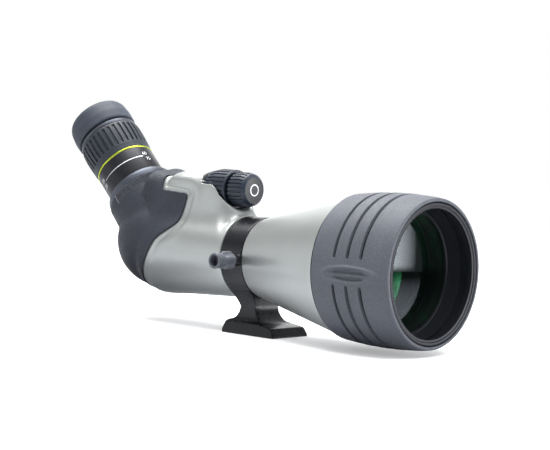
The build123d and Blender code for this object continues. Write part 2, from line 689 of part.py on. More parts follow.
def eyepiece_mount_ring():
    """Grey flange that clamps the eyepiece onto the housing's neck."""
    return turned(EYEPIECE, [
        (MOUNT_RING_START, BAYONET_RADIUS + 0.1), (MOUNT_RING_START, 27.4),
        (MOUNT_RING_END - 0.8, 27.4), (MOUNT_RING_END, 26.6),
        (MOUNT_RING_END, BAYONET_RADIUS + 0.1),
    ])


def eyepiece_body():
    """Fixed tube of the eyepiece with straight slots for the lens groups' pins."""
    body = turned(EYEPIECE, [
        (46.0, BODY_BORE), (46.0, BAYONET_RADIUS), (SCALE_START - 0.9, BAYONET_RADIUS),
        (SCALE_START - 0.9, 23.0), (SCALE_START - 0.2, 23.0), (SCALE_START - 0.2, BODY_RADIUS),
        (134.9, BODY_RADIUS), (134.9, BODY_BORE),
    ])
    for group_span, rate in group_motions():
        middle = sum(group_span) / 2
        low = middle + min(rate * ZOOM_MIN_DEG, rate * ZOOM_MAX_DEG) - PIN_RADIUS - 0.3
        high = middle + max(rate * ZOOM_MIN_DEG, rate * ZOOM_MAX_DEG) + PIN_RADIUS + 0.3
        slot = EYEPIECE * Pos(0, 0, (low + high) / 2) * Box(60.0, 2 * PIN_RADIUS + 0.1, high - low)
        body = body - slot
    return body


def group_motions():
    return (
        (FIELD_GROUP, FIELD_TRAVEL_MM_PER_DEG),
        (VARIATOR_GROUP, VARIATOR_TRAVEL_MM_PER_DEG),
    )


def cam_slots(middle, rate):
    """Helical slots that the cam pins follow: one cut for every few degrees of zoom."""
    step = 4.0
    count = round((ZOOM_MAX_DEG - ZOOM_MIN_DEG) / step)
    cuts = []
    for i in range(count + 1):
        angle = ZOOM_MIN_DEG + step * i
        pin = EYEPIECE * Pos(0, 0, middle + rate * angle) * Rot(0, 90, 0) * Cylinder(PIN_RADIUS + 0.25, 60)
        cuts.append(rotated(pin, EYEPIECE, -angle))
    return cuts


def zoom_cam_sleeve():
    """Rotating sleeve under the scale and the grip; its slots drive the lens groups."""
    sleeve = tube(EYEPIECE, SCALE_START, GRIP_END - 0.4, CAM_OUTER, CAM_INNER)
    for group_span, rate in group_motions():
        sleeve = sleeve - cam_slots(sum(group_span) / 2, rate)
    return sleeve


def zoom_scale_ring():
    """Black ring that carries the magnification scale."""
    return turned(EYEPIECE, [
        (SCALE_START, CAM_OUTER + 0.02), (SCALE_START, 23.2), (SCALE_START + 0.5, 23.7),
        (ACCENT_START - 0.05, 23.7), (ACCENT_START - 0.05, CAM_OUTER + 0.02),
    ])


def accent_ring():
    return turned(EYEPIECE, [
        (ACCENT_START, CAM_OUTER + 0.02), (ACCENT_START, 23.75), (ACCENT_START + 0.3, 24.0),
        (GRIP_START - 0.35, 24.0), (GRIP_START - 0.05, 23.75), (GRIP_START - 0.05, CAM_OUTER + 0.02),
    ])


def zoom_grip():
    """Rubber grip with a smooth lower band and ribs above it."""
    grip = turned(EYEPIECE, [
        (GRIP_START, CAM_OUTER + 0.02), (GRIP_START, 23.6), (GRIP_START + 0.4, 24.0),
        (RIBS_START - 0.4, 24.1), (RIBS_START, 24.3), (100.0, 24.9), (107.0, 25.1),
        (113.0, 24.8), (GRIP_END, 24.2), (GRIP_END, CAM_OUTER + 0.02),
    ])
    return ribbed(grip, EYEPIECE, ZOOM_RIBS, RIBS_START + 0.8, 111.8, 25.1, 2.5, 1.1)


def lens_cell(span, lens_radius):
    """Sliding cell: a tube with a rear shoulder."""
    start, end = span
    return turned(EYEPIECE, [
        (start, lens_radius - 1.0), (start, BODY_BORE - 0.06), (end, BODY_BORE - 0.06),
        (end, lens_radius + 0.03), (start + 1.5, lens_radius + 0.03), (start + 1.5, lens_radius - 1.0),
    ]) - cam_pin_holes(span)


def cam_pin_holes(span):
    return EYEPIECE * Pos(0, 0, sum(span) / 2) * Rot(0, 90, 0) * Cylinder(PIN_RADIUS + 0.01, 60)


def cam_pins(span):
    """Two pins, on opposite sides, that reach out through the slots."""
    pin = EYEPIECE * Pos(0, 0, sum(span) / 2) * Rot(0, 90, 0)
    length = CAM_OUTER - 0.4 - 14.6
    offset = 14.6 + length / 2
    return group([pin * Pos(0, 0, side * offset) * Cylinder(PIN_RADIUS, length) for side in (-1, 1)])


def eyepiece_optics():
    parts["field_group_cell"] = lens_cell(FIELD_GROUP, 13.5)
    parts["field_group_lens"] = lens(EYEPIECE, 73.55, 79.0, 13.5, 0.8, 1.5)
    parts["field_group_pins"] = cam_pins(FIELD_GROUP)
    parts["variator_cell"] = lens_cell(VARIATOR_GROUP, 13.5)
    parts["variator_lens"] = lens(EYEPIECE, 97.55, 103.0, 13.5, 1.8, 2.2)
    parts["variator_pins"] = cam_pins(VARIATOR_GROUP)
    parts["field_stop"] = tube(EYEPIECE, 52.0, 54.0, BODY_BORE - 0.05, 10.5)
    parts["eye_lens_shoulder_ring"] = tube(EYEPIECE, 120.0, 123.0, BODY_BORE - 0.05, 13.6)
    parts["eye_lens"] = lens(EYEPIECE, 123.05, 130.0, BODY_BORE - 0.1, 0.9, 2.4)
    parts["eye_lens_retainer"] = turned(EYEPIECE, [
        (130.05, 13.9), (130.05, BODY_BORE - 0.05), (134.4, BODY_BORE - 0.05), (134.4, 14.9),
    ])


# ---- Twist-up eyecup -----------------------------------------------------------

KEY_RADIUS = 20.1
SLEEVE_INNER = 20.4
KEY_COUNT = 3


def eyecup_base_ring():
    """Metal band between the zoom grip and the eyecup."""
    return turned(EYEPIECE, [
        (GRIP_END + 0.4, BODY_RADIUS + 0.02), (GRIP_END + 0.4, 23.4), (GRIP_END + 0.9, 23.9),
        (117.6, 23.9), (118.2, 23.2), (118.2, 21.8), (EYECUP_START - 0.3, 21.8),
        (EYECUP_START - 0.3, BODY_RADIUS + 0.02),
    ])


def eyecup_key_ring():
    """Turning ring whose lugs carry the eyecup round while it rises."""
    ring = tube(EYEPIECE, EYECUP_START, 133.2, KEY_RADIUS, BODY_RADIUS + RUNNING)
    lug = EYEPIECE * Pos(KEY_RADIUS + 0.1, 0, 131.4) * Box(1.2, 2.6, 3.6)
    return ring + around(lug, EYEPIECE, KEY_COUNT)


def eyecup_sleeve():
    """Rigid inner sleeve of the eyecup, grooved for the key ring's lugs."""
    sleeve = tube(EYEPIECE, EYECUP_START + 0.4, 136.6, 22.4, SLEEVE_INNER)
    groove = EYEPIECE * Pos(KEY_RADIUS + 0.2, 0, 127.0) * Box(1.8, 2.8, 16.0)
    return sleeve - around(groove, EYEPIECE, KEY_COUNT)


def eyecup_rubber():
    """Soft cup over the sleeve, rolled over at the eye end."""
    wall = Spline((22.45, EYECUP_START), (24.4, EYECUP_START + 0.9), (24.5, 127.0),
                  (24.0, 134.6), (21.8, EYECUP_END), (19.5, 138.0), (18.9, 136.7))
    outline = [
        wall,
        Line(wall @ 1, (22.45, 136.7)),
        Line((22.45, 136.7), wall @ 0),
    ]
    return EYEPIECE * revolve(Plane.XZ * make_face(outline), Axis.Z)


def eyecup_snap_ring():
    """Keeps the key ring on the eyepiece body."""
    return tube(EYEPIECE, 133.3, 134.3, BODY_RADIUS + 1.3, BODY_RADIUS + 0.02)


# ---- Assembly ------------------------------------------------------------------

parts["tripod_foot_collar"] = foot_and_collar()
parts["collar_liner"] = collar_liner()
parts["tripod_thread_insert"] = thread_insert()
parts["lock_knob"] = lock_knob()
parts["lock_screw"] = lock_screw()
parts["lock_shoe"] = lock_shoe()
parts["main_barrel"] = main_barrel()
parts["objective_cell"] = objective_cell()
parts["objective_seal"] = objective_seal()
objective_glass()
parts["objective_armour"] = objective_armour()
parts["sunshade_tube"] = sunshade_tube()
parts["sunshade_friction_ring"] = sunshade_friction_ring()
parts["front_baffle"] = baffle(60.0, 33.0)
parts["rear_baffle"] = baffle(25.0, 28.0)
parts["prism_housing"] = prism_housing()
parts["rear_armour"] = rear_armour()
parts["roof_prism"] = roof_prism()
parts["prism_bracket"] = prism_bracket()
parts["prism_springs"] = prism_springs()
parts["focus_guide_rods"] = group([rod(-1, ROD_RADIUS), rod(1, ROD_RADIUS)])
parts["focus_carriage"] = focus_carriage()
parts["focus_lens"] = focus_lens()
parts["focus_lens_ring"] = focus_lens_ring()
parts["focus_bushing"] = focus_bushing()
parts["focus_lead_screw"] = focus_lead_screw()
parts["ball_cage"] = ball_cage()
parts["drive_balls"] = drive_balls()
parts["coarse_drum"] = coarse_drum()
parts["coarse_focus_ring"] = coarse_focus_ring()
parts["fine_focus_knob"] = fine_focus_knob()
parts["fine_focus_shaft"] = fine_focus_shaft()
parts["knob_screw"] = knob_screw()
parts["knob_cap"] = knob_cap()
parts["eyepiece_mount_ring"] = eyepiece_mount_ring()
parts["eyepiece_body"] = eyepiece_body()
eyepiece_optics()
parts["zoom_cam_sleeve"] = zoom_cam_sleeve()
parts["zoom_scale_ring"] = zoom_scale_ring()
parts["accent_ring"] = accent_ring()
parts["zoom_grip"] = zoom_grip()
parts["eyecup_base_ring"] = eyecup_base_ring()
parts["eyecup_key_ring"] = eyecup_key_ring()
parts["eyecup_sleeve"] = eyecup_sleeve()
parts["eyecup_rubber"] = eyecup_rubber()
parts["eyecup_snap_ring"] = eyecup_snap_ring()

os.makedirs("parts", exist_ok=True)
for name, shape in parts.items():
    export_step(shape, f"parts/{name}.step")
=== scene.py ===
import json
import math

import bmesh
import bpy
import numpy as np
from mathutils import Matrix, Vector

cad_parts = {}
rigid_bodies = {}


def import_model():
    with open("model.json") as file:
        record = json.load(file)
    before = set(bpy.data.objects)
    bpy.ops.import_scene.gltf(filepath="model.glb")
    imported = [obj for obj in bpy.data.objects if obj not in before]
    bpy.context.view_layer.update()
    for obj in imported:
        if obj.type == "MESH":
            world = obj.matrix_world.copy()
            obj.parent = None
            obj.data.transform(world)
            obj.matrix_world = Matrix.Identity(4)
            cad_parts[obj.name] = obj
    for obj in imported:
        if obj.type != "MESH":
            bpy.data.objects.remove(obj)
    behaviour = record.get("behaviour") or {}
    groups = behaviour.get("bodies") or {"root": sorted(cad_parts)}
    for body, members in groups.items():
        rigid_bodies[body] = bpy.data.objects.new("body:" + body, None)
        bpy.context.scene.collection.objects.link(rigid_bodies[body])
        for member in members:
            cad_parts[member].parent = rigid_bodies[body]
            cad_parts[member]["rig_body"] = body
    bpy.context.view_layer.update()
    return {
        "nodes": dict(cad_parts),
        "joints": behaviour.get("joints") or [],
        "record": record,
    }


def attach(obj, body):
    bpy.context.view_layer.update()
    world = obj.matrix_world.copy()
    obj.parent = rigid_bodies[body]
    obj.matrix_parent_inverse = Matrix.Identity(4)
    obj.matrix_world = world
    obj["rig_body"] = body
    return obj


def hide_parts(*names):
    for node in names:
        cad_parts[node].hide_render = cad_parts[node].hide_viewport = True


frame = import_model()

# The looks of an angled zoom spotting scope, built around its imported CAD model.
# Outlines and offsets are in millimetres along and around one of the design's
# axes; objects are in metres in the frame's own coordinates.

MM = 0.001

# ---- Axes of the design ---------------------------------------------------------


class Place:
    """A straight axis: where it starts, where it points, and where angle 0 looks."""

    def __init__(self, origin, axis, zero):
        self.origin = np.array(origin, float)
        self.axis = np.array(axis, float) / np.linalg.norm(axis)
        self.zero = np.array(zero, float) / np.linalg.norm(zero)
        self.side = np.cross(self.axis, self.zero)

    def points(self, height, radius, angle):
        """Points in metres from arrays of height, radius (mm) and angle (radians)."""
        out = np.cos(angle)[..., None] * self.zero + np.sin(angle)[..., None] * self.side
        return self.origin + MM * (height[..., None] * self.axis + radius[..., None] * out)

    def measure(self, points):
        """Height, radius (mm) and angle of points given in metres."""
        offset = (points - self.origin) / MM
        height = offset @ self.axis
        across, aside = offset @ self.zero, offset @ self.side
        return height, np.hypot(across, aside), np.arctan2(aside, across)


joints = {joint["name"]: joint for joint in frame["joints"]}
axis_height = joints["scope_turn"]["pos_m"][2]
OPTICAL = Place((0, 0, axis_height), (1, 0, 0), (0, 0, 1))
KNOB = Place((0, 0, joints["coarse_focus_turn"]["pos_m"][2]), (1, 0, 0), (0, 0, 1))
EYEPIECE = Place(joints["zoom_turn"]["pos_m"], joints["zoom_turn"]["axis"], (1, 0, 1))


def vertices(mesh):
    flat = np.empty(len(mesh.vertices) * 3)
    mesh.vertices.foreach_get("co", flat)
    return flat.reshape(-1, 3)


def extent(node, place):
    """Lowest and highest height, smallest and largest radius of a CAD node, in mm."""
    height, radius, _ = place.measure(vertices(frame["nodes"][node].data))
    return height.min(), height.max(), radius.min(), radius.max()


def outer_radius(node, place, height):
    """The CAD node's largest radius where a plane at this height cuts it, in mm."""
    mesh = frame["nodes"][node].data
    heights, _, _ = place.measure(vertices(mesh))
    pairs = np.empty(len(mesh.edges) * 2, int)
    mesh.edges.foreach_get("vertices", pairs)
    a, b = pairs.reshape(-1, 2).T
    cut = (heights[a] - height) * (heights[b] - height) < 0
    a, b = a[cut], b[cut]
    share = ((height - heights[a]) / (heights[b] - heights[a]))[:, None]
    corner = vertices(mesh)
    _, radius, _ = place.measure(corner[a] * (1 - share) + corner[b] * share)
    return float(radius.max())


# ---- Small maths ------------------------------------------------------------------


def smooth(value, low, high):
    """0 below low, 1 above high, with a soft change between."""
    t = np.clip((value - low) / (high - low), 0, 1)
    return t * t * (3 - 2 * t)


def bump(value, centre, width):
    return np.exp(-((value - centre) / width) ** 2)


def rounded(corners, steps=6, closed=True):
    """Points of an outline whose corners are (x, y) or (x, y, rounding)."""
    points = []
    count = len(corners)
    for i, corner in enumerate(corners):
        here = np.array(corner[:2], float)
        rounding = corner[2] if len(corner) > 2 else 0
        if rounding <= 0 or (not closed and i in (0, count - 1)):
            points.append(here)
            continue
        before = np.array(corners[i - 1][:2], float) - here
        after = np.array(corners[(i + 1) % count][:2], float) - here
        before_length, after_length = np.linalg.norm(before), np.linalg.norm(after)
        before, after = before / before_length, after / after_length
        half = math.acos(np.clip(before @ after, -1, 1)) / 2
        tangent = min(rounding / math.tan(half), 0.49 * min(before_length, after_length))
        radius = tangent * math.tan(half)
        middle = before + after
        centre = here + middle / np.linalg.norm(middle) * math.hypot(tangent, radius)
        first, last = here + before * tangent - centre, here + after * tangent - centre
        sweep = math.atan2(first[0] * last[1] - first[1] * last[0], first @ last)
        for k in range(steps + 1):
            turn = sweep * k / steps
            rotated = (first[0] * math.cos(turn) - first[1] * math.sin(turn),
                       first[0] * math.sin(turn) + first[1] * math.cos(turn))
            points.append(centre + rotated)
    return np.array(points)


def divided(path, pitch, closed=True):
    """The same outline with no stretch longer than pitch."""
    result = []
    last = len(path) if closed else len(path) - 1
    for i in range(last):
        here, there = path[i], path[(i + 1) % len(path)]
        pieces = max(1, math.ceil(np.linalg.norm(there - here) / pitch))
        result.extend(here + (there - here) * k / pieces for k in range(pieces))
    if not closed:
        result.append(path[-1])
    return np.array(result)


# ---- Making pieces ------------------------------------------------------------------


def finish_mesh(mesh, sharp_deg=38.0):
    """Points every face outwards and shades the mesh smooth between its sharp edges."""
    work = bmesh.new()
    work.from_mesh(mesh)
    bmesh.ops.recalc_face_normals(work, faces=work.faces)
    work.to_mesh(mesh)
    work.free()
    mesh.polygons.foreach_set("use_smooth", [True] * len(mesh.polygons))
    mesh.set_sharp_from_angle(angle=math.radians(sharp_deg))
    mesh.update()


def add_piece(name, points, faces, body, material):
    mesh = bpy.data.meshes.new(name)
    mesh.from_pydata(points.tolist(), [], faces)
    finish_mesh(mesh)
    piece = bpy.data.objects.new(name, mesh)
    bpy.context.scene.collection.objects.link(piece)
    mesh.materials.append(material)
    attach(piece, body)
    return piece


def ring_faces(rows, count, closed):
    faces = []
    for i in range(rows if closed else rows - 1):
        low, high = i * count, (i + 1) % rows * count
        for k in range(count):
            after = (k + 1) % count
            faces.append((low + k, high + k, high + after, low + after))
    return faces


def lathe(place, corners, count=180, pitch=None, relief=None, steps=6):
    """Points and faces of a turned ring; relief(height, angle, radius) adds to the radius."""
    path = rounded(corners, steps)
    if pitch:
        path = divided(path, pitch)
    angle = np.arange(count) * 2 * math.pi / count
    height, turn = np.meshgrid(path[:, 0], angle, indexing="ij")
    radius = np.repeat(path[:, 1:2], count, axis=1)
    if relief:
        radius = radius + relief(height, turn, radius)
    points = place.points(height, radius, turn).reshape(-1, 3)
    return points, ring_faces(len(path), count, closed=True)


def turned_piece(name, node, place, corners, material, **shape):
    """A turned piece that stands for a CAD node and rides on the same body."""
    points, faces = lathe(place, corners, **shape)
    source = frame["nodes"][node]
    piece = add_piece(name, points, faces, source["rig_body"], material)
    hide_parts(node)
    return piece


def apply_modifiers(piece):
    graph = bpy.context.evaluated_depsgraph_get()
    mesh = bpy.data.meshes.new_from_object(piece.evaluated_get(graph), depsgraph=graph)
    piece.modifiers.clear()
    piece.data = mesh


def softened(name, node, voxel, rounds, material):
    """A remeshed copy of a CAD node whose edges are softly rounded."""
    mesh = bpy.data.meshes.new(name)
    source = frame["nodes"][node]
    work = bmesh.new()
    work.from_mesh(source.data)
    bmesh.ops.remove_doubles(work, verts=work.verts, dist=1e-6)
    work.to_mesh(mesh)
    work.free()
    piece = bpy.data.objects.new(name, mesh)
    bpy.context.scene.collection.objects.link(piece)
    remesh = piece.modifiers.new("remesh", "REMESH")
    remesh.mode = "VOXEL"
    remesh.voxel_size = voxel * MM
    relax = piece.modifiers.new("relax", "SMOOTH")
    relax.iterations = rounds
    relax.factor = 0.5
    apply_modifiers(piece)
    piece.data.materials.clear()
    piece.data.materials.append(material)
    piece.data.polygons.foreach_set("use_smooth", [True] * len(piece.data.polygons))
    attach(piece, source["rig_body"])
    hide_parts(node)
    return piece


def relaxed(piece, weight, rounds):
    """Smooths a piece further where its vertices' weight is above nought."""
    group = piece.vertex_groups.new(name="relaxed")
    for index in np.flatnonzero(weight > 0.02):
        group.add([int(index)], float(weight[index]), "REPLACE")
    relax = piece.modifiers.new("relax", "SMOOTH")
    relax.iterations = rounds
    relax.factor = 0.5
    relax.vertex_group = group.name
    apply_modifiers(piece)


def push(piece, offset):
    """Moves each vertex along its normal by an offset in mm."""
    mesh = piece.data
    normal = np.empty(len(mesh.vertices) * 3)
    mesh.vertices.foreach_get("normal", normal)
    moved = vertices(mesh) + normal.reshape(-1, 3) * offset[:, None] * MM
    mesh.vertices.foreach_set("co", moved.ravel())
    mesh.update()


# ---- Materials ----------------------------------------------------------------------

slot_of = {sub["node"]: sub["material_slot"] for sub in frame["record"]["subparts"]}


class Nodes:
    """Short names for building the nodes of a material or of the world."""

    def __init__(self, name, world=False):
        owner = bpy.data.worlds.new(name) if world else bpy.data.materials.new(name)
        owner.use_nodes = True
        self.material = owner
        self.tree = owner.node_tree
        self.tree.nodes.clear()
        self.output = self.add("ShaderNodeOutputWorld" if world else "ShaderNodeOutputMaterial")
        socket = "Generated" if world else "Object"
        self.coordinates = self.add("ShaderNodeTexCoord").outputs[socket]

    def add(self, kind, **values):
        node = self.tree.nodes.new(kind)
        for key, value in values.items():
            setattr(node, key, value)
        return node

    def link(self, source, target):
        self.tree.links.new(source, target)

    def noise(self, scale, detail=3.0, roughness=0.55, stretch=None):
        node = self.add("ShaderNodeTexNoise")
        node.inputs["Scale"].default_value = scale
        node.inputs["Detail"].default_value = detail
        node.inputs["Roughness"].default_value = roughness
        self.link(self.stretched(stretch), node.inputs["Vector"])
        return node.outputs["Fac"]

    def cells(self, scale):
        node = self.add("ShaderNodeTexVoronoi")
        node.inputs["Scale"].default_value = scale
        self.link(self.coordinates, node.inputs["Vector"])
        return node.outputs["Distance"]

    def stretched(self, stretch):
        if stretch is None:
            return self.coordinates
        mapping = self.add("ShaderNodeMapping")
        mapping.inputs["Scale"].default_value = stretch
        self.link(self.coordinates, mapping.inputs["Vector"])
        return mapping.outputs["Vector"]

    def between(self, value, low, high, start=0.0, end=1.0):
        node = self.add("ShaderNodeMapRange")
        node.inputs["From Min"].default_value = low
        node.inputs["From Max"].default_value = high
        node.inputs["To Min"].default_value = start
        node.inputs["To Max"].default_value = end
        self.link(value, node.inputs["Value"])
        return node.outputs["Result"]

    def math(self, operation, first, second):
        node = self.add("ShaderNodeMath", operation=operation)
        for socket, value in zip(node.inputs, (first, second)):
            if isinstance(value, (int, float)):
                socket.default_value = value
            else:
                self.link(value, socket)
        return node.outputs[0]

    def mix(self, factor, first, second):
        node = self.add("ShaderNodeMix", data_type="RGBA")
        if isinstance(factor, (int, float)):
            node.inputs["Factor"].default_value = factor
        else:
            self.link(factor, node.inputs["Factor"])
        for socket, colour in zip((node.inputs["A"], node.inputs["B"]), (first, second)):
            if isinstance(colour, tuple):
                socket.default_value = (*colour, 1.0)
            else:
                self.link(colour, socket)
        return node.outputs["Result"]

    def bumped(self, *layers):
        """Stacks bump layers of (height socket, strength, depth in mm)."""
        normal = None
        for height, strength, depth in layers:
            node = self.add("ShaderNodeBump")
            node.inputs["Strength"].default_value = strength
            node.inputs["Distance"].default_value = depth * MM
            self.link(height, node.inputs["Height"])
            if normal is not None:
                self.link(normal, node.inputs["Normal"])
            normal = node.outputs["Normal"]
        return normal

    def surface(self, colour, roughness, normal=None, **inputs):
        """Principled surface; extra inputs use Blender's own names with _ for spaces."""
        node = self.add("ShaderNodeBsdfPrincipled")
        if isinstance(colour, tuple):
            node.inputs["Base Color"].default_value = (*colour, 1.0)
        else:
            self.link(colour, node.inputs["Base Color"])
        if isinstance(roughness, (int, float)):
            node.inputs["Roughness"].default_value = roughness
        else:
            self.link(roughness, node.inputs["Roughness"])
        if normal is not None:
            self.link(normal, node.inputs["Normal"])
        for key, value in inputs.items():
            node.inputs[key.replace("_", " ")].default_value = value
        self.link(node.outputs["BSDF"], self.output.inputs["Surface"])
        return node


def worn(nodes, base, scale=40.0, amount=0.12):
    """A base colour with broad, faint variation."""
    light = tuple(min(1.0, c * (1 + amount)) for c in base)
    dark = tuple(c * (1 - amount) for c in base)
    return nodes.mix(nodes.between(nodes.noise(scale, 4.0), 0.3, 0.7), dark, light)


def metallic_paint(name, base):
    """Satin grey paint with fine aluminium flake; just behind the armour joint the colour turns black,
    painted shade for the joint's gap.
    """
    nodes = Nodes(name)
    flake = nodes.cells(2600.0)
    sparkle = nodes.between(flake, 0.0, 0.5)
    colour = nodes.mix(nodes.math("MULTIPLY", sparkle, 0.22), worn(nodes, base, 30.0, 0.04),
                       tuple(c * 1.35 for c in base))
    forward = nodes.add("ShaderNodeSeparateXYZ")
    nodes.link(nodes.coordinates, forward.inputs[0])
    # painted shade: the barrel's end wall in the armour joint is coloured black to stand for the gap's shadow
    joint_painted_shade = nodes.between(forward.outputs["X"], (JOINT - 1.15) * MM, (JOINT - 1.05) * MM)
    colour = nodes.mix(joint_painted_shade, colour, (0.004, 0.004, 0.005))
    roughness = nodes.between(nodes.noise(900.0, 2.0), 0.3, 0.7, 0.34, 0.44)
    normal = nodes.bumped((flake, 0.10, 0.02), (nodes.noise(350.0, 2.0), 0.05, 0.05))
    nodes.surface(colour, roughness, normal, Metallic=0.75)
    return nodes.material


def stippled_rubber(name, base, speck, strength, grain=1150.0, ribbed_band=None, painted_shade=None):
    """Moulded rubber with the fine pebble grain of camera armour."""
    nodes = Nodes(name)
    layers = [ribbed_band(nodes)] if ribbed_band else []
    pebble = nodes.cells(grain)
    fine = nodes.noise(grain * 2.2, 2.0)
    specks = nodes.between(nodes.noise(grain * 1.3, 1.0), 0.52, 0.74)
    colour = nodes.mix(nodes.math("MULTIPLY", specks, 0.55), worn(nodes, base, 35.0, 0.08), speck)
    # painted shade: where the mask is set, the colour is darkened to stand for shadow, as in the hood's
    # groove bottoms
    if painted_shade:
        colour = nodes.mix(painted_shade(nodes), colour, tuple(c * 0.08 for c in base))
    roughness = nodes.between(nodes.noise(500.0, 3.0), 0.3, 0.7, 0.50, 0.66)
    normal = nodes.bumped((pebble, strength, 0.12), (fine, strength * 0.6, 0.06), *layers)
    nodes.surface(colour, roughness, normal, Specular_IOR_Level=0.4)
    return nodes.material


def neck_ribs(nodes):
    """Bump layer: a band of fine ribs along the neck, just under the eyepiece's mount."""
    middle = nodes.add("ShaderNodeVectorMath", operation="SUBTRACT")
    nodes.link(nodes.coordinates, middle.inputs[0])
    middle.inputs[1].default_value = EYEPIECE.origin

    def along(direction):
        dot = nodes.add("ShaderNodeVectorMath", operation="DOT_PRODUCT")
        nodes.link(middle.outputs[0], dot.inputs[0])
        dot.inputs[1].default_value = direction
        return dot.outputs["Value"]

    turn = nodes.math("ARCTAN2", along(EYEPIECE.side), along(EYEPIECE.zero))
    height = along(EYEPIECE.axis)
    low, high = (edge * MM for edge in NECK_BAND)
    band = nodes.math("MULTIPLY", nodes.between(height, low, low + 0.8 * MM),
                      nodes.between(height, high, high - 0.8 * MM))
    wave = nodes.math("SINE", nodes.math("MULTIPLY", turn, NECK_RIBS), 0.0)
    return nodes.math("MULTIPLY", wave, band), 0.9, 0.5


def groove_shade(nodes):
    """Share of painted shade at the bottom of the hood's grooves."""
    split = nodes.add("ShaderNodeSeparateXYZ")
    nodes.link(nodes.coordinates, split.inputs[0])
    level = nodes.math("ABSOLUTE", nodes.math("SUBTRACT", split.outputs["Z"], axis_height), 0.0)
    shade = None
    for groove in GROOVES:
        away = nodes.math("ABSOLUTE", nodes.math("SUBTRACT", split.outputs["X"], groove * MM), 0.0)
        line = nodes.between(away, (GROOVE_HALF - 0.05) * MM, (GROOVE_HALF - 0.35) * MM)
        shade = line if shade is None else nodes.math("ADD", shade, line)
    return nodes.math("MULTIPLY", shade, nodes.between(level, GROOVE_LEVEL * MM, (GROOVE_LEVEL + 0.4) * MM))


def smooth_rubber(name, base, gloss=0.42):
    nodes = Nodes(name)
    roughness = nodes.between(nodes.noise(220.0, 4.0), 0.3, 0.7, gloss - 0.05, gloss + 0.08)
    normal = nodes.bumped((nodes.noise(2400.0, 2.0), 0.16, 0.05))
    nodes.surface(worn(nodes, base, 60.0, 0.10), roughness, normal, Specular_IOR_Level=0.5)
    return nodes.material


def black_enamel(name, base):
    """Semi-gloss black paint with slight orange peel."""
    nodes = Nodes(name)
    roughness = nodes.between(nodes.noise(120.0, 4.0), 0.3, 0.7, 0.24, 0.33)
    normal = nodes.bumped((nodes.noise(420.0, 2.0), 0.10, 0.05))
    nodes.surface(worn(nodes, base, 50.0, 0.15), roughness, normal, Specular_IOR_Level=0.42)
    return nodes.material


def anodised(name, base, gloss=0.34, metallic=0.75, place=None):
    """Anodised aluminium with the faint rings that turning leaves."""
    nodes = Nodes(name)
    rings = nodes.noise(1400.0, 2.0, stretch=(1.0, 0.05, 0.05) if place is OPTICAL else None)
    roughness = nodes.between(rings, 0.3, 0.7, gloss - 0.05, gloss + 0.06)
    normal = nodes.bumped((rings, 0.06, 0.03))
    nodes.surface(worn(nodes, base, 45.0, 0.06), roughness, normal, Metallic=metallic)
    return nodes.material


def machined(name, base, gloss=0.28):
    """Bare metal with fine tool marks."""
    nodes = Nodes(name)
    marks = nodes.noise(2200.0, 3.0, stretch=(1.0, 0.15, 0.15))
    roughness = nodes.between(marks, 0.3, 0.7, gloss - 0.06, gloss + 0.10)
    nodes.surface(worn(nodes, base, 90.0, 0.08), roughness, nodes.bumped((marks, 0.12, 0.03)),
                  Metallic=1.0)
    return nodes.material


def moulded(name, base, gloss=0.45):
    nodes = Nodes(name)
    normal = nodes.bumped((nodes.cells(1800.0), 0.12, 0.04))
    roughness = nodes.between(nodes.noise(300.0), 0.3, 0.7, gloss - 0.06, gloss + 0.06)
    nodes.surface(worn(nodes, base, 60.0, 0.08), roughness, normal)
    return nodes.material


def felt(name, base):
    nodes = Nodes(name)
    fibre = nodes.noise(3500.0, 5.0, 0.8)
    nodes.surface(worn(nodes, base, 120.0, 0.2), 0.95, nodes.bumped((fibre, 0.6, 0.2)),
                  Sheen_Weight=0.4)
    return nodes.material


def coated_glass(name, outer, inner):
    """Clear glass; each face of a lens reflects a little, in its own (colour, share)."""
    nodes = Nodes(name)
    inside = nodes.add("ShaderNodeNewGeometry").outputs["Backfacing"]
    smear = nodes.between(nodes.noise(25.0, 4.0), 0.3, 0.7, 0.005, 0.02)
    reflection = nodes.add("ShaderNodeBsdfGlossy")
    nodes.link(nodes.mix(inside, outer[0], inner[0]), reflection.inputs["Color"])
    nodes.link(smear, reflection.inputs["Roughness"])
    clear = nodes.add("ShaderNodeBsdfTransparent")
    clear.inputs["Color"].default_value = (0.93, 0.96, 0.94, 1.0)
    slant = nodes.add("ShaderNodeLayerWeight")
    slant.inputs["Blend"].default_value = 0.35
    share = nodes.between(inside, 0.0, 1.0, outer[1], inner[1])
    share = nodes.math("ADD", share, nodes.math("MULTIPLY", slant.outputs["Facing"], share))
    blend = nodes.add("ShaderNodeMixShader")
    nodes.link(share, blend.inputs["Fac"])
    nodes.link(clear.outputs["BSDF"], blend.inputs[1])
    nodes.link(reflection.outputs["BSDF"], blend.inputs[2])
    nodes.link(blend.outputs["Shader"], nodes.output.inputs["Surface"])
    return nodes.material


GROOVES = (105.6, 116.7, 127.9)
GROOVE_HALF, GROOVE_DEPTH = 1.0, 2.2
GROOVE_END = math.radians(11.0)
GROOVE_LEVEL = 10.6
JOINT = extent("objective_armour", OPTICAL)[0]
NECK_BAND = (49.0, 56.0)
NECK_RIBS = 120.0

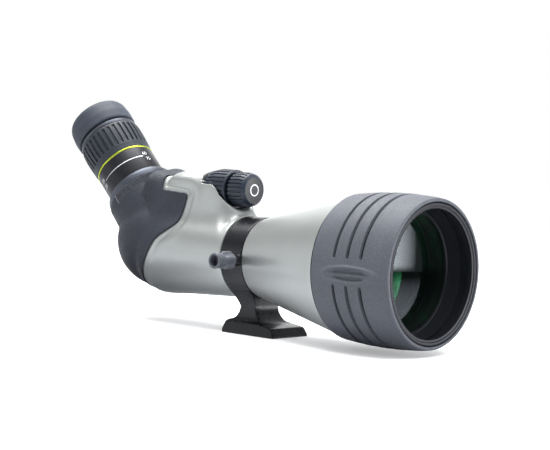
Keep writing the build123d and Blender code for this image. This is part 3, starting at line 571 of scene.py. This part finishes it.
MATERIALS = {
    "grey_paint": metallic_paint("grey_paint_look", (0.40, 0.415, 0.405)),
    "armour_rubber": stippled_rubber("armour_rubber_look", (0.021, 0.024, 0.034),
                                     (0.06, 0.065, 0.082), 0.5, ribbed_band=neck_ribs),
    "hood_rubber": stippled_rubber("hood_rubber_look", (0.072, 0.078, 0.094),
                                   (0.17, 0.175, 0.195), 0.34, grain=1500.0, painted_shade=groove_shade),
    "grip_rubber": smooth_rubber("grip_rubber_look", (0.018, 0.022, 0.031), 0.48),
    "eyecup_rubber": smooth_rubber("eyecup_rubber_look", (0.032, 0.040, 0.056), 0.58),
    "knob_rubber": smooth_rubber("knob_rubber_look", (0.013, 0.019, 0.032), 0.40),
    "lock_rubber": smooth_rubber("lock_rubber_look", (0.085, 0.092, 0.11), 0.42),
    "seal_rubber": smooth_rubber("seal_rubber_look", (0.02, 0.02, 0.02)),
    "black_paint": black_enamel("black_paint_look", (0.004, 0.0045, 0.007)),
    "black_anodised": anodised("black_anodised_look", (0.020, 0.021, 0.026), 0.36, 0.4),
    "scale_black": anodised("scale_black_look", (0.010, 0.010, 0.014), 0.34, 0.3),
    "grey_anodised": anodised("grey_anodised_look", (0.085, 0.093, 0.115), 0.40),
    "lime_anodised": anodised("lime_anodised_look", (0.50, 0.58, 0.06), 0.20, 0.85),
    "aluminium": machined("aluminium_look", (0.62, 0.63, 0.65)),
    "brass": machined("brass_look", (0.62, 0.48, 0.22)),
    "steel": machined("steel_look", (0.55, 0.56, 0.58)),
    "black_plastic": moulded("black_plastic_look", (0.006, 0.0065, 0.009)),
    "nylon": moulded("nylon_look", (0.72, 0.71, 0.66)),
    "felt": felt("felt_look", (0.02, 0.02, 0.022)),
    "white_print": moulded("white_print_look", (0.78, 0.79, 0.82), 0.5),
    "faint_print": moulded("faint_print_look", (0.28, 0.30, 0.34), 0.5),
    "glass": coated_glass("glass_look", ((0.4, 0.9, 0.6), 0.015), ((0.4, 0.9, 0.6), 0.015)),
    "coated_glass": coated_glass("coated_glass_look", ((0.30, 0.325, 0.35), 0.14),
                                 ((0.05, 0.40, 0.16), 0.12)),
}

for node, cad in frame["nodes"].items():
    cad.data.materials.clear()
    cad.data.materials.append(MATERIALS[slot_of[node]])

# ---- Objective armour: grooves over and under, and a finger lozenge ------------------

HOOD_BACK, HOOD_FRONT, HOOD_BORE, _ = extent("objective_armour", OPTICAL)
HOOD_RIM, HOOD_BELLY = 50.2, 52.0
SLEEVE = extent("main_barrel", OPTICAL)
LOZENGE = (118.7, 21.0, 5.2)  # middle, half length, half height
LOZENGE_DROP = math.radians(1.6)


def hood_relief(height, angle, radius):
    outside = smooth(radius, HOOD_RIM - 2.6, HOOD_RIM - 1.4)
    off_side = np.abs(np.abs((angle % (2 * math.pi)) - math.pi) - math.pi / 2)
    beyond = np.maximum(0.0, GROOVE_END - off_side) * radius
    depth = np.zeros_like(radius)
    for x in GROOVES:
        away = np.hypot(height - x, beyond)
        wall = smooth(GROOVE_HALF + 0.25 - away, 0.0, 0.5)
        lip = 0.15 * bump(away, GROOVE_HALF + 0.9, 0.5)
        depth = depth - GROOVE_DEPTH * wall + lip
    middle, half_length, half_height = LOZENGE
    past_side = np.abs((angle % (2 * math.pi)) - math.pi)
    down = (math.pi / 2 - LOZENGE_DROP - past_side) * radius
    along = (height - middle) / half_length
    oval = np.sqrt(along**2 + (down / half_height) ** 2)
    rim = 1.05 * bump(oval, 0.97, 0.16)
    well = -1.25 * smooth(0.84 - oval, 0.0, 0.25)
    spine = 1.75 * bump(down, 0.4, 1.3) * smooth(0.90 - np.abs(along), 0.0, 0.35)
    return outside * (depth + rim + well + spine * smooth(0.95 - oval, 0.0, 0.2))


def hood_outline():
    back = [(HOOD_BACK, HOOD_BORE + 0.1), (HOOD_BACK, HOOD_RIM, 0.4)]
    curve = []
    for share in np.linspace(0.08, 0.92, 12):
        rise = (HOOD_BELLY - HOOD_RIM) * (1 - (2 * share - 1) ** 2)
        curve.append((HOOD_BACK + share * (HOOD_FRONT - HOOD_BACK), HOOD_RIM + rise))
    front = [(HOOD_FRONT, HOOD_RIM - 0.3, 2.4), (HOOD_FRONT, HOOD_BORE, 0.25),
             (HOOD_FRONT - 2.9, HOOD_BORE), (HOOD_FRONT - 2.9, HOOD_BORE + 0.1)]
    return back + curve + front


turned_piece("objective_armour_skin", "objective_armour", OPTICAL, hood_outline(),
             MATERIALS["hood_rubber"], count=640, pitch=0.42, relief=hood_relief)

# ---- Objective lenses -----------------------------------------------------------------


def lens_skin(node):
    """A lens with smooth round faces, measured from the CAD lens."""
    height, radius, _ = OPTICAL.measure(vertices(frame["nodes"][node].data))
    rim = radius.max()
    edge, inner = height[radius > rim - 0.05], radius < 0.95 * rim
    share = 1 - (radius / rim) ** 2
    back = inner & (height < (edge.min() + edge.max()) / 2)
    profile = []
    for side, face in ((edge.min(), back), (edge.max(), inner & ~back)):
        bulge = np.sum((height[face] - side) * share[face]) / max(np.sum(share[face] ** 2), 1e-6)
        profile.append([(side + bulge * (1 - out ** 2), max(out * rim, 0.02))
                        for out in np.linspace(0.0, 1.0, 40)])
    path = np.array(profile[0] + profile[1][::-1])
    count = 200
    angle = np.arange(count) * 2 * math.pi / count
    level, turn = np.meshgrid(path[:, 0], angle, indexing="ij")
    points = OPTICAL.points(level, np.repeat(path[:, 1:], count, axis=1), turn).reshape(-1, 3)
    last = (len(path) - 1) * count
    faces = ring_faces(len(path), count, closed=False)
    faces += [tuple(range(count)), tuple(range(last, last + count))]
    piece = add_piece(node + "_skin", points, faces, frame["nodes"][node]["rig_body"],
                      MATERIALS[slot_of[node]])
    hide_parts(node)


for lens in ("front_objective_lens", "middle_objective_lens", "rear_objective_lens"):
    lens_skin(lens)

# ---- Barrel and sunshade ---------------------------------------------------------------


def barrel_outline():
    """Neck, cone with a soft flare before the armour, sleeve, and the light path inside."""
    back, front, _, _ = SLEEVE
    neck = outer_radius("main_barrel", OPTICAL, -10.0)
    start = outer_radius("main_barrel", OPTICAL, 3.0)
    middle = outer_radius("main_barrel", OPTICAL, HOOD_BACK - 8.0)
    flare = outer_radius("main_barrel", OPTICAL, HOOD_BACK - 1.0)
    sleeve = outer_radius("main_barrel", OPTICAL, 110.0)
    return [
        (back, neck), (2.0, neck), (2.0, start - 0.1, 0.5), (HOOD_BACK - 9.0, middle - 0.1, 26.0),
        (HOOD_BACK - 1.0, flare + 0.1, 0.2), (HOOD_BACK - 1.0, sleeve), (front, sleeve),
        (front, sleeve - 2.2), (144.0, sleeve - 2.2), (144.0, sleeve - 1.3), (93.0, sleeve - 1.3),
        (93.0, 42.95), (86.0, 42.95), (86.0, 46.6), (5.0, 27.0), (1.0, 23.3), (back, 23.3),
    ]


turned_piece("main_barrel_skin", "main_barrel", OPTICAL, barrel_outline(),
             MATERIALS["grey_paint"], count=256)


def shade_outline():
    back, front, mouth, bead = extent("sunshade_tube", OPTICAL)
    body = outer_radius("sunshade_tube", OPTICAL, 130.0)
    return [
        (back, 45.2), (back, bead - 0.1, 0.2), (back + 1.2, bead - 0.1, 0.2), (back + 1.2, 46.4),
        (back + 3.2, 46.4), (back + 3.2, bead - 0.1, 0.2), (back + 4.4, bead - 0.1, 0.2),
        (back + 4.4, body), (front - 2.4, body), (front - 2.4, bead), (front - 0.5, bead, 0.5),
        (front, bead - 1.0, 0.5), (front, mouth + 1.9, 0.5), (front - 0.9, mouth + 1.4, 0.3),
        (front - 0.9, mouth, 0.4), (front - 5.0, mouth, 0.4), (front - 5.0, 45.2),
    ]


turned_piece("sunshade_skin", "sunshade_tube", OPTICAL, shade_outline(),
             MATERIALS["black_anodised"], count=256)

# ---- Eyepiece ------------------------------------------------------------------------------


def ribs(count, low, high, width_share, depth, soft=0.5):
    """Grooves parallel to the axis: count of them between two heights."""
    def relief(height, angle, radius):
        phase = np.abs((angle * count / (2 * math.pi)) % 1.0 - 0.5) * 2
        across = (phase - (1 - width_share)) * math.pi * radius / count
        ends = np.minimum(height - low, high - height)
        return -depth * smooth(np.minimum(across, ends), 0.0, soft)
    return relief


def grip_relief(height, angle, radius):
    outside = smooth(radius, GRIP_BORE + 0.8, GRIP_BORE + 1.3)
    return outside * ribs(34, RIBS_START, GRIP_END - 2.0, 0.52, 1.3, 0.45)(height, angle, radius)


GRIP_START, GRIP_END, GRIP_BORE, _ = extent("zoom_grip", EYEPIECE)
RIBS_START = GRIP_START + 5.4


def grip_outline():
    corners = [(GRIP_START, GRIP_BORE), (GRIP_START, 23.75, 0.5), (GRIP_START + 3.6, 24.2, 0.6),
               (GRIP_START + 4.4, 24.45, 0.3)]
    for height in np.linspace(RIBS_START + 3.0, GRIP_END - 4.0, 6):
        corners.append((height, outer_radius("zoom_grip", EYEPIECE, height)))
    return corners + [(GRIP_END - 1.6, 24.7, 1.0), (GRIP_END, 24.0, 0.6), (GRIP_END, GRIP_BORE)]


turned_piece("zoom_grip_skin", "zoom_grip", EYEPIECE, grip_outline(), MATERIALS["grip_rubber"],
             count=34 * 20, pitch=0.5, relief=grip_relief)


def plain_ring(name, node, material, rounding, slot_place=EYEPIECE, **shape):
    """A ring as wide and as thick as its CAD node, with rounded edges."""
    low, high, inner, outer = extent(node, slot_place)
    corners = [(low, inner), (low, outer, rounding), (high, outer, rounding), (high, inner)]
    return turned_piece(name, node, slot_place, corners, material, **shape)


plain_ring("accent_ring_skin", "accent_ring", MATERIALS["lime_anodised"], 0.7)
plain_ring("zoom_scale_skin", "zoom_scale_ring", MATERIALS["scale_black"], 0.5, count=256)


def mount_outline():
    low, high, inner, outer = extent("eyepiece_mount_ring", EYEPIECE)
    return [(low, inner), (low, outer, 0.6), (high - 2.9, outer, 0.8), (high - 2.4, outer - 1.2, 0.3),
            (high, outer - 1.7, 0.5), (high, inner)]


turned_piece("mount_ring_skin", "eyepiece_mount_ring", EYEPIECE, mount_outline(),
             MATERIALS["grey_anodised"], count=256)


def base_outline():
    low, high, inner, outer = extent("eyecup_base_ring", EYEPIECE)
    return [(low, inner), (low, outer, 0.5), (low + 2.9, outer, 0.5), (low + 3.3, outer - 1.9, 0.4),
            (high, outer - 2.1, 0.3), (high, inner)]


turned_piece("eyecup_base_skin", "eyecup_base_ring", EYEPIECE, base_outline(),
             MATERIALS["grey_anodised"], count=256)


def eyecup_outline():
    low, high, _, outer = extent("eyecup_rubber", EYEPIECE)
    sleeve = extent("eyecup_sleeve", EYEPIECE)[3] + 0.05
    top = extent("eyecup_sleeve", EYEPIECE)[1] + 0.1
    return [(low, sleeve, 0.2), (low, outer - 0.4, 1.2), (low + 7.5, outer, 12.0),
            (high - 3.4, outer - 0.9, 6.0), (high, outer - 2.4, 3.0), (high - 0.2, 20.2, 1.4),
            (top, 18.95, 0.5), (top, sleeve)]


turned_piece("eyecup_skin", "eyecup_rubber", EYEPIECE, eyecup_outline(),
             MATERIALS["eyecup_rubber"], count=220, pitch=1.0)

# ---- Zoom scale: numerals and the widening line ---------------------------------------------

SCALE_LOW, SCALE_HIGH, _, SCALE_RADIUS = extent("zoom_scale_ring", EYEPIECE)
SCALE_MIDDLE = (SCALE_LOW + SCALE_HIGH) / 2 + 1.0
PRINT_HEIGHT = 0.04


def wrapped(flat, angle, height):
    """Wraps flat points (x along the turn, y along the axis, z outwards, in mm) on the scale."""
    turn = math.radians(angle) + flat[:, 0] / SCALE_RADIUS
    return EYEPIECE.points(height + flat[:, 1], SCALE_RADIUS + flat[:, 2], turn)


def numeral(name, text, angle, height, size):
    curve = bpy.data.curves.new(name, "FONT")
    curve.body = text
    curve.size = size
    curve.align_x = "CENTER"
    curve.align_y = "CENTER"
    curve.extrude = PRINT_HEIGHT
    flat = bpy.data.objects.new(name + "_flat", curve)
    bpy.context.scene.collection.objects.link(flat)
    graph = bpy.context.evaluated_depsgraph_get()
    mesh = bpy.data.meshes.new_from_object(flat.evaluated_get(graph), depsgraph=graph)
    bpy.data.objects.remove(flat)
    mesh.vertices.foreach_set("co", wrapped(vertices(mesh), angle, height).ravel())
    mesh.update()
    piece = bpy.data.objects.new(name, mesh)
    bpy.context.scene.collection.objects.link(piece)
    mesh.materials.append(MATERIALS["white_print"])
    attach(piece, "zoom_ring")


def scale_line(name, start, end, thin, thick):
    """A printed line that widens from the low powers to the high ones."""
    steps = 90
    points, faces = [], []
    for i in range(steps + 1):
        share = i / steps
        half = (thin + (thick - thin) * share) / 2
        x = math.radians(start + (end - start) * share) * SCALE_RADIUS
        for y, z in ((-half, -PRINT_HEIGHT), (half, -PRINT_HEIGHT), (half, PRINT_HEIGHT),
                     (-half, PRINT_HEIGHT)):
            points.append((x, y, z))
        if i:
            low, high = 4 * (i - 1), 4 * i
            faces += [(low + k, high + k, high + (k + 1) % 4, low + (k + 1) % 4) for k in range(4)]
    faces += [(0, 1, 2, 3), (4 * steps, 4 * steps + 3, 4 * steps + 2, 4 * steps + 1)]
    points = wrapped(np.array(points), 0.0, SCALE_MIDDLE)
    add_piece(name, points, faces, "zoom_ring", MATERIALS["white_print"])


for text, angle in (("20", -113.0), ("60", -3.0), ("40", 120.0)):
    numeral("scale_upper_" + text, text, angle, SCALE_MIDDLE + 2.6, 4.2)
for text, angle in (("25", -113.0), ("75", -1.0), ("50", 120.0)):
    numeral("scale_lower_" + text, text, angle, SCALE_MIDDLE - 2.8, 4.2)
scale_line("scale_line", -104.0, -10.0, 0.25, 0.85)

# ---- Focus knobs -------------------------------------------------------------------------------


def coarse_relief(height, angle, radius):
    low, high, inner, outer = COARSE
    outside = smooth(radius, inner + 0.6, inner + 1.0)
    return outside * ribs(26, low - 2, high - 1.4, 0.46, 0.85, 0.35)(height, angle, radius)


def fine_relief(height, angle, radius):
    low, high, inner, outer = FINE
    outside = smooth(radius, outer - 2.4, outer - 2.0)
    return outside * ribs(26, low - 2, high - 2.6, 0.46, 0.85, 0.35)(height, angle, radius)


COARSE = extent("coarse_focus_ring", KNOB)
FINE = extent("fine_focus_knob", KNOB)


def coarse_outline():
    low, high, inner, outer = COARSE
    return [(low, inner), (low, outer - 1.6, 0.9), (low + 9.0, outer, 20.0), (high, outer - 0.4, 0.9),
            (high, inner)]


def fine_outline():
    low, high, inner, outer = FINE
    cap = extent("knob_cap", KNOB)[3] + 0.05
    return [(low, inner), (low, outer - 0.1, 0.9), (high - 6.5, outer, 8.0), (high - 1.9, outer - 1.2, 1.0),
            (high, cap + 0.6, 0.5), (high, cap, 0.2), (high - 1.5, cap), (high - 1.5, 4.0),
            (high - 10.5, 4.0), (high - 10.5, inner)]


turned_piece("coarse_focus_skin", "coarse_focus_ring", KNOB, coarse_outline(),
             MATERIALS["knob_rubber"], count=26 * 20, pitch=0.5, relief=coarse_relief)
turned_piece("fine_focus_skin", "fine_focus_knob", KNOB, fine_outline(),
             MATERIALS["knob_rubber"], count=26 * 20, pitch=0.5, relief=fine_relief)


def cap_mark():
    """A plain printed ring on the knob's cap."""
    _, high, _, _ = extent("knob_cap", KNOB)
    corners = [(high - 0.25, 3.5), (high - 0.02, 3.5, 0.05), (high - 0.04, 4.4, 0.05), (high - 0.3, 4.4)]
    points, faces = lathe(KNOB, corners, count=96, steps=3)
    add_piece("knob_cap_ring", points, faces, "fine_focus", MATERIALS["white_print"])


cap_mark()

# ---- Foot, collar and lock knob ------------------------------------------------------------------

softened("foot_collar_skin", "tripod_foot_collar", 0.45, 2, MATERIALS["black_paint"])
softened("lock_knob_skin", "lock_knob", 0.22, 5, MATERIALS["lock_rubber"])

# ---- Prism housing and rear armour ------------------------------------------------------------------

# The armour's seam seen from the side, as corners (x, z, rounding) in mm.
SEAM = ((-88.0, 125.0), (-93.5, 111.0, 6.0), (-91.0, 100.8, 3.0), (-64.5, 98.8, 2.5),
        (-69.0, 76.5, 9.0), (-84.5, 64.5, 16.0), (-99.5, 37.5, 60.0), (-113.0, 15.0))


def seam_distance(points):
    """Distance in mm of points from the seam in side view; positive is in front of it."""
    x, z = points[:, 0] / MM, points[:, 2] / MM
    path = divided(rounded(SEAM, closed=False), 1.0, closed=False)
    best = np.full(len(points), 1e9)
    front = np.zeros(len(points), bool)
    for (ax, az), (bx, bz) in zip(path[:-1], path[1:]):
        dx, dz = bx - ax, bz - az
        share = np.clip(((x - ax) * dx + (z - az) * dz) / (dx * dx + dz * dz), 0, 1)
        away = np.hypot(x - ax - share * dx, z - az - share * dz)
        nearer = away < best
        best = np.where(nearer, away, best)
        front = np.where(nearer, dx * (z - az) - dz * (x - ax) > 0, front)
    return np.where(front, best, -best)


def housing_skin():
    """Cast housing: soft corners, and a lip, a valley and a ridge along the seam."""
    piece = softened("prism_housing_skin", "prism_housing", 0.8, 8, MATERIALS["grey_paint"])
    points = vertices(piece.data)
    level, radius, _ = OPTICAL.measure(points)
    front = smooth(points[:, 0] / MM, -46.0, -38.0) * smooth(-points[:, 0] / MM, 19.5, 21.5)
    relaxed(piece, front * smooth(radius, 29.0, 30.5), 60)
    points = vertices(piece.data)
    gap = seam_distance(points)
    high = smooth(points[:, 2] / MM, 45.0, 72.0)
    lip = 0.35 * bump(gap, 1.2, 0.9)
    valley = -0.75 * bump(gap, 3.6, 1.9)
    ridge = 0.8 * bump(gap, 9.5, 3.6)
    level, radius, _ = OPTICAL.measure(points)
    outside = smooth(radius, 28.6, 30.2)
    behind = np.where(gap > 0, 1.0, 0.0)
    push(piece, behind * outside * (lip + (0.4 + 0.6 * high) * valley + high * ridge))
    return piece


def armour_skin():
    """Rubber shell whose creases are smoothed away from its edges."""
    piece = softened("rear_armour_skin", "rear_armour", 0.55, 3, MATERIALS["armour_rubber"])
    points = vertices(piece.data)
    height, radius, _ = EYEPIECE.measure(points)
    inland = smooth(-seam_distance(points), 2.0, 6.0) * smooth(-height, -NECK_BAND[1], -NECK_BAND[0])
    relaxed(piece, inland, 90)


def index_line():
    """A printed mark on the neck for the zoom scale."""
    low, high = NECK_BAND
    neck = outer_radius("rear_armour", EYEPIECE, (low + high) / 2)
    points, faces = [], []
    for height in (low - 0.5, high):
        for radius, side in ((neck - 0.3, -1), (neck + 0.12, -1), (neck + 0.12, 1), (neck - 0.3, 1)):
            angle = np.array(math.radians(INDEX_ANGLE) + side * 0.2 / neck)
            points.append(EYEPIECE.points(np.array(height), np.array(radius), angle))
    faces = [(0, 1, 2, 3), (7, 6, 5, 4)] + [(k, (k + 1) % 4, (k + 1) % 4 + 4, k + 4) for k in range(4)]
    add_piece("index_line", np.array(points), faces, "scope", MATERIALS["faint_print"])


INDEX_ANGLE = -93.0
housing_skin()
armour_skin()
index_line()

# ---- Stage, light and camera ---------------------------------------------------------------------------


def white_stage():
    """A white floor that the camera sees evenly white; the light it throws back has painted shade under the
    object and a painted fall-off far from it.
    """
    nodes = Nodes("floor_look")
    seen = nodes.add("ShaderNodeLightPath").outputs["Is Camera Ray"]
    away = nodes.add("ShaderNodeVectorMath", operation="DISTANCE")
    nodes.link(nodes.coordinates, away.inputs[0])
    away.inputs[1].default_value = TABLE_MIDDLE
    under = nodes.add("ShaderNodeVectorMath", operation="DISTANCE")
    nodes.link(nodes.coordinates, under.inputs[0])
    under.inputs[1].default_value = SHADE_MIDDLE
    # painted shade: the bounce colour is darker under the object, and darker far from it as a painted
    # fall-off of the light
    bounce = nodes.mix(nodes.between(under.outputs["Value"], *SHADE), SHADE_BOUNCE, FLOOR_BOUNCE)
    bounce = nodes.mix(nodes.between(away.outputs["Value"], *TABLE_FADE), bounce, (0.03, 0.03, 0.03))
    white = nodes.mix(nodes.between(nodes.noise(3.0), 0.3, 0.7), (0.93, 0.93, 0.935), (0.95, 0.95, 0.955))
    shader = nodes.surface(nodes.mix(seen, bounce, white), 0.7, Specular_IOR_Level=0.0)
    nodes.link(nodes.mix(seen, (0.0, 0.0, 0.0), FLOOR_GLOW), shader.inputs["Emission Color"])
    shader.inputs["Emission Strength"].default_value = 1.0
    mesh = bpy.data.meshes.new("floor")
    ahead = Vector((math.cos(FLOOR_TURN), math.sin(FLOOR_TURN), 0))
    across = Vector((-ahead.y, ahead.x, 0))
    half = 8.0
    mesh.from_pydata([ahead * FLOOR_EDGE - across * half, ahead * FLOOR_EDGE + across * half,
                      across * half - ahead * half, -across * half - ahead * half], [], [(0, 1, 2, 3)])
    floor = bpy.data.objects.new("floor", mesh)
    bpy.context.scene.collection.objects.link(floor)
    mesh.materials.append(nodes.material)


def area_light(name, at, towards, size, power, mirrored=True):
    light = bpy.data.lights.new(name, "AREA")
    light.shape = "RECTANGLE"
    light.size, light.size_y = size
    light.energy = power
    lamp = bpy.data.objects.new(name, light)
    lamp.location = at
    lamp.rotation_euler = (Vector(towards) - Vector(at)).to_track_quat("-Z", "Y").to_euler()
    lamp.visible_glossy = mirrored
    bpy.context.scene.collection.objects.link(lamp)


def studio_world():
    """White behind the object, bright overhead, darker around, and two upright windows."""
    nodes = Nodes("studio", world=True)
    bpy.context.scene.world = nodes.material
    split = nodes.add("ShaderNodeSeparateXYZ")
    nodes.link(nodes.coordinates, split.inputs[0])
    east, north, up = split.outputs

    def towards(azimuth):
        turn = math.radians(azimuth)
        return nodes.math("ADD", nodes.math("MULTIPLY", east, math.cos(turn)),
                          nodes.math("MULTIPLY", north, math.sin(turn)))

    light = nodes.between(up, 0.45, 0.90, AROUND, OVERHEAD)
    for azimuth, half_width, soft, low, high, fade, strength in WINDOWS:
        edge, middle = math.cos(math.radians(half_width + soft)), math.cos(math.radians(half_width))
        wide = nodes.between(towards(azimuth), edge, middle)
        tall = nodes.math("MULTIPLY", nodes.between(up, low, low + 0.02),
                          nodes.between(up, high + fade, high))
        light = nodes.math("ADD", light, nodes.math("MULTIPLY", nodes.math("MULTIPLY", wide, tall), strength))
    seen = nodes.add("ShaderNodeLightPath").outputs["Is Camera Ray"]
    lit = nodes.add("ShaderNodeVectorMath", operation="SCALE")
    lit.inputs[0].default_value = (0.97, 0.985, 1.0)
    nodes.link(light, lit.inputs["Scale"])
    background = nodes.add("ShaderNodeBackground")
    nodes.link(nodes.mix(seen, lit.outputs[0], (1.0, 1.0, 1.0)), background.inputs["Color"])
    nodes.link(background.outputs[0], nodes.output.inputs["Surface"])


def camera():
    """Looks down the left of the objective from its front quarter."""
    position = Vector((716.6, -774.5, 119.9)) * MM
    yaw, pitch, roll = math.radians(42.53), math.radians(2.215), math.radians(2.367)
    ahead = Vector((-math.sin(yaw) * math.cos(pitch), math.cos(yaw) * math.cos(pitch), -math.sin(pitch)))
    right = Vector((math.cos(yaw), math.sin(yaw), 0))
    up = right.cross(ahead)
    right, up = (right * math.cos(roll) + up * math.sin(roll),
                 up * math.cos(roll) - right * math.sin(roll))
    data = bpy.data.cameras.new("camera")
    data.sensor_width = 36.0
    data.lens = 36.0 * 1463.2 / 550
    data.clip_start, data.clip_end = 0.01, 30.0
    view = bpy.data.objects.new("camera", data)
    turn = Matrix((right, up, -ahead)).transposed()
    view.matrix_world = Matrix.Translation(position) @ turn.to_4x4()
    bpy.context.scene.collection.objects.link(view)
    bpy.context.scene.camera = view


# Painted shade in the floor's bounce colour under the object, and painted fall-off of the light far from it.
FLOOR_BOUNCE, SHADE_BOUNCE = (0.58, 0.59, 0.62), (0.13, 0.13, 0.14)
SHADE_MIDDLE, SHADE = (-0.16, -0.05, 0.0), (0.05, 0.12)
TABLE_MIDDLE, TABLE_FADE = (-0.35, -0.35, 0.0), (0.75, 1.2)
FLOOR_TURN, FLOOR_EDGE, FLOOR_GLOW = math.radians(49.0), 0.915, (0.30, 0.30, 0.30)
AROUND, OVERHEAD = 0.22, 1.1
# azimuth, half width and softness in degrees; sines of lowest and highest elevation, and the
# fade above it; strength
WINDOWS = (
    (28.0, 9.0, 18.0, -0.066, 0.45, 0.15, 12.0),
    (-125.0, 40.0, 30.0, -0.1, 0.15, 0.3, 1.0),
    (125.0, 22.0, 32.0, -0.1, 0.45, 0.3, 1.6),
    (82.0, 12.0, 15.0, 0.45, 0.72, 0.15, 5.0),
)
white_stage()
studio_world()
area_light("key", (-0.2, -0.4, 1.4), (0.0, 0.0, 0.05), (0.9, 0.5), 12.0, mirrored=False)
area_light("top", (-0.27, 0.1, 0.97), (0.13, 0.0, 0.06), (0.7, 0.7), 12.0)
area_light("front", (0.65, -0.1, 0.7), (0.13, 0.0, 0.06), (0.4, 0.4), 5.0, mirrored=False)
camera()
bpy.context.scene.view_settings.view_transform = "Standard"
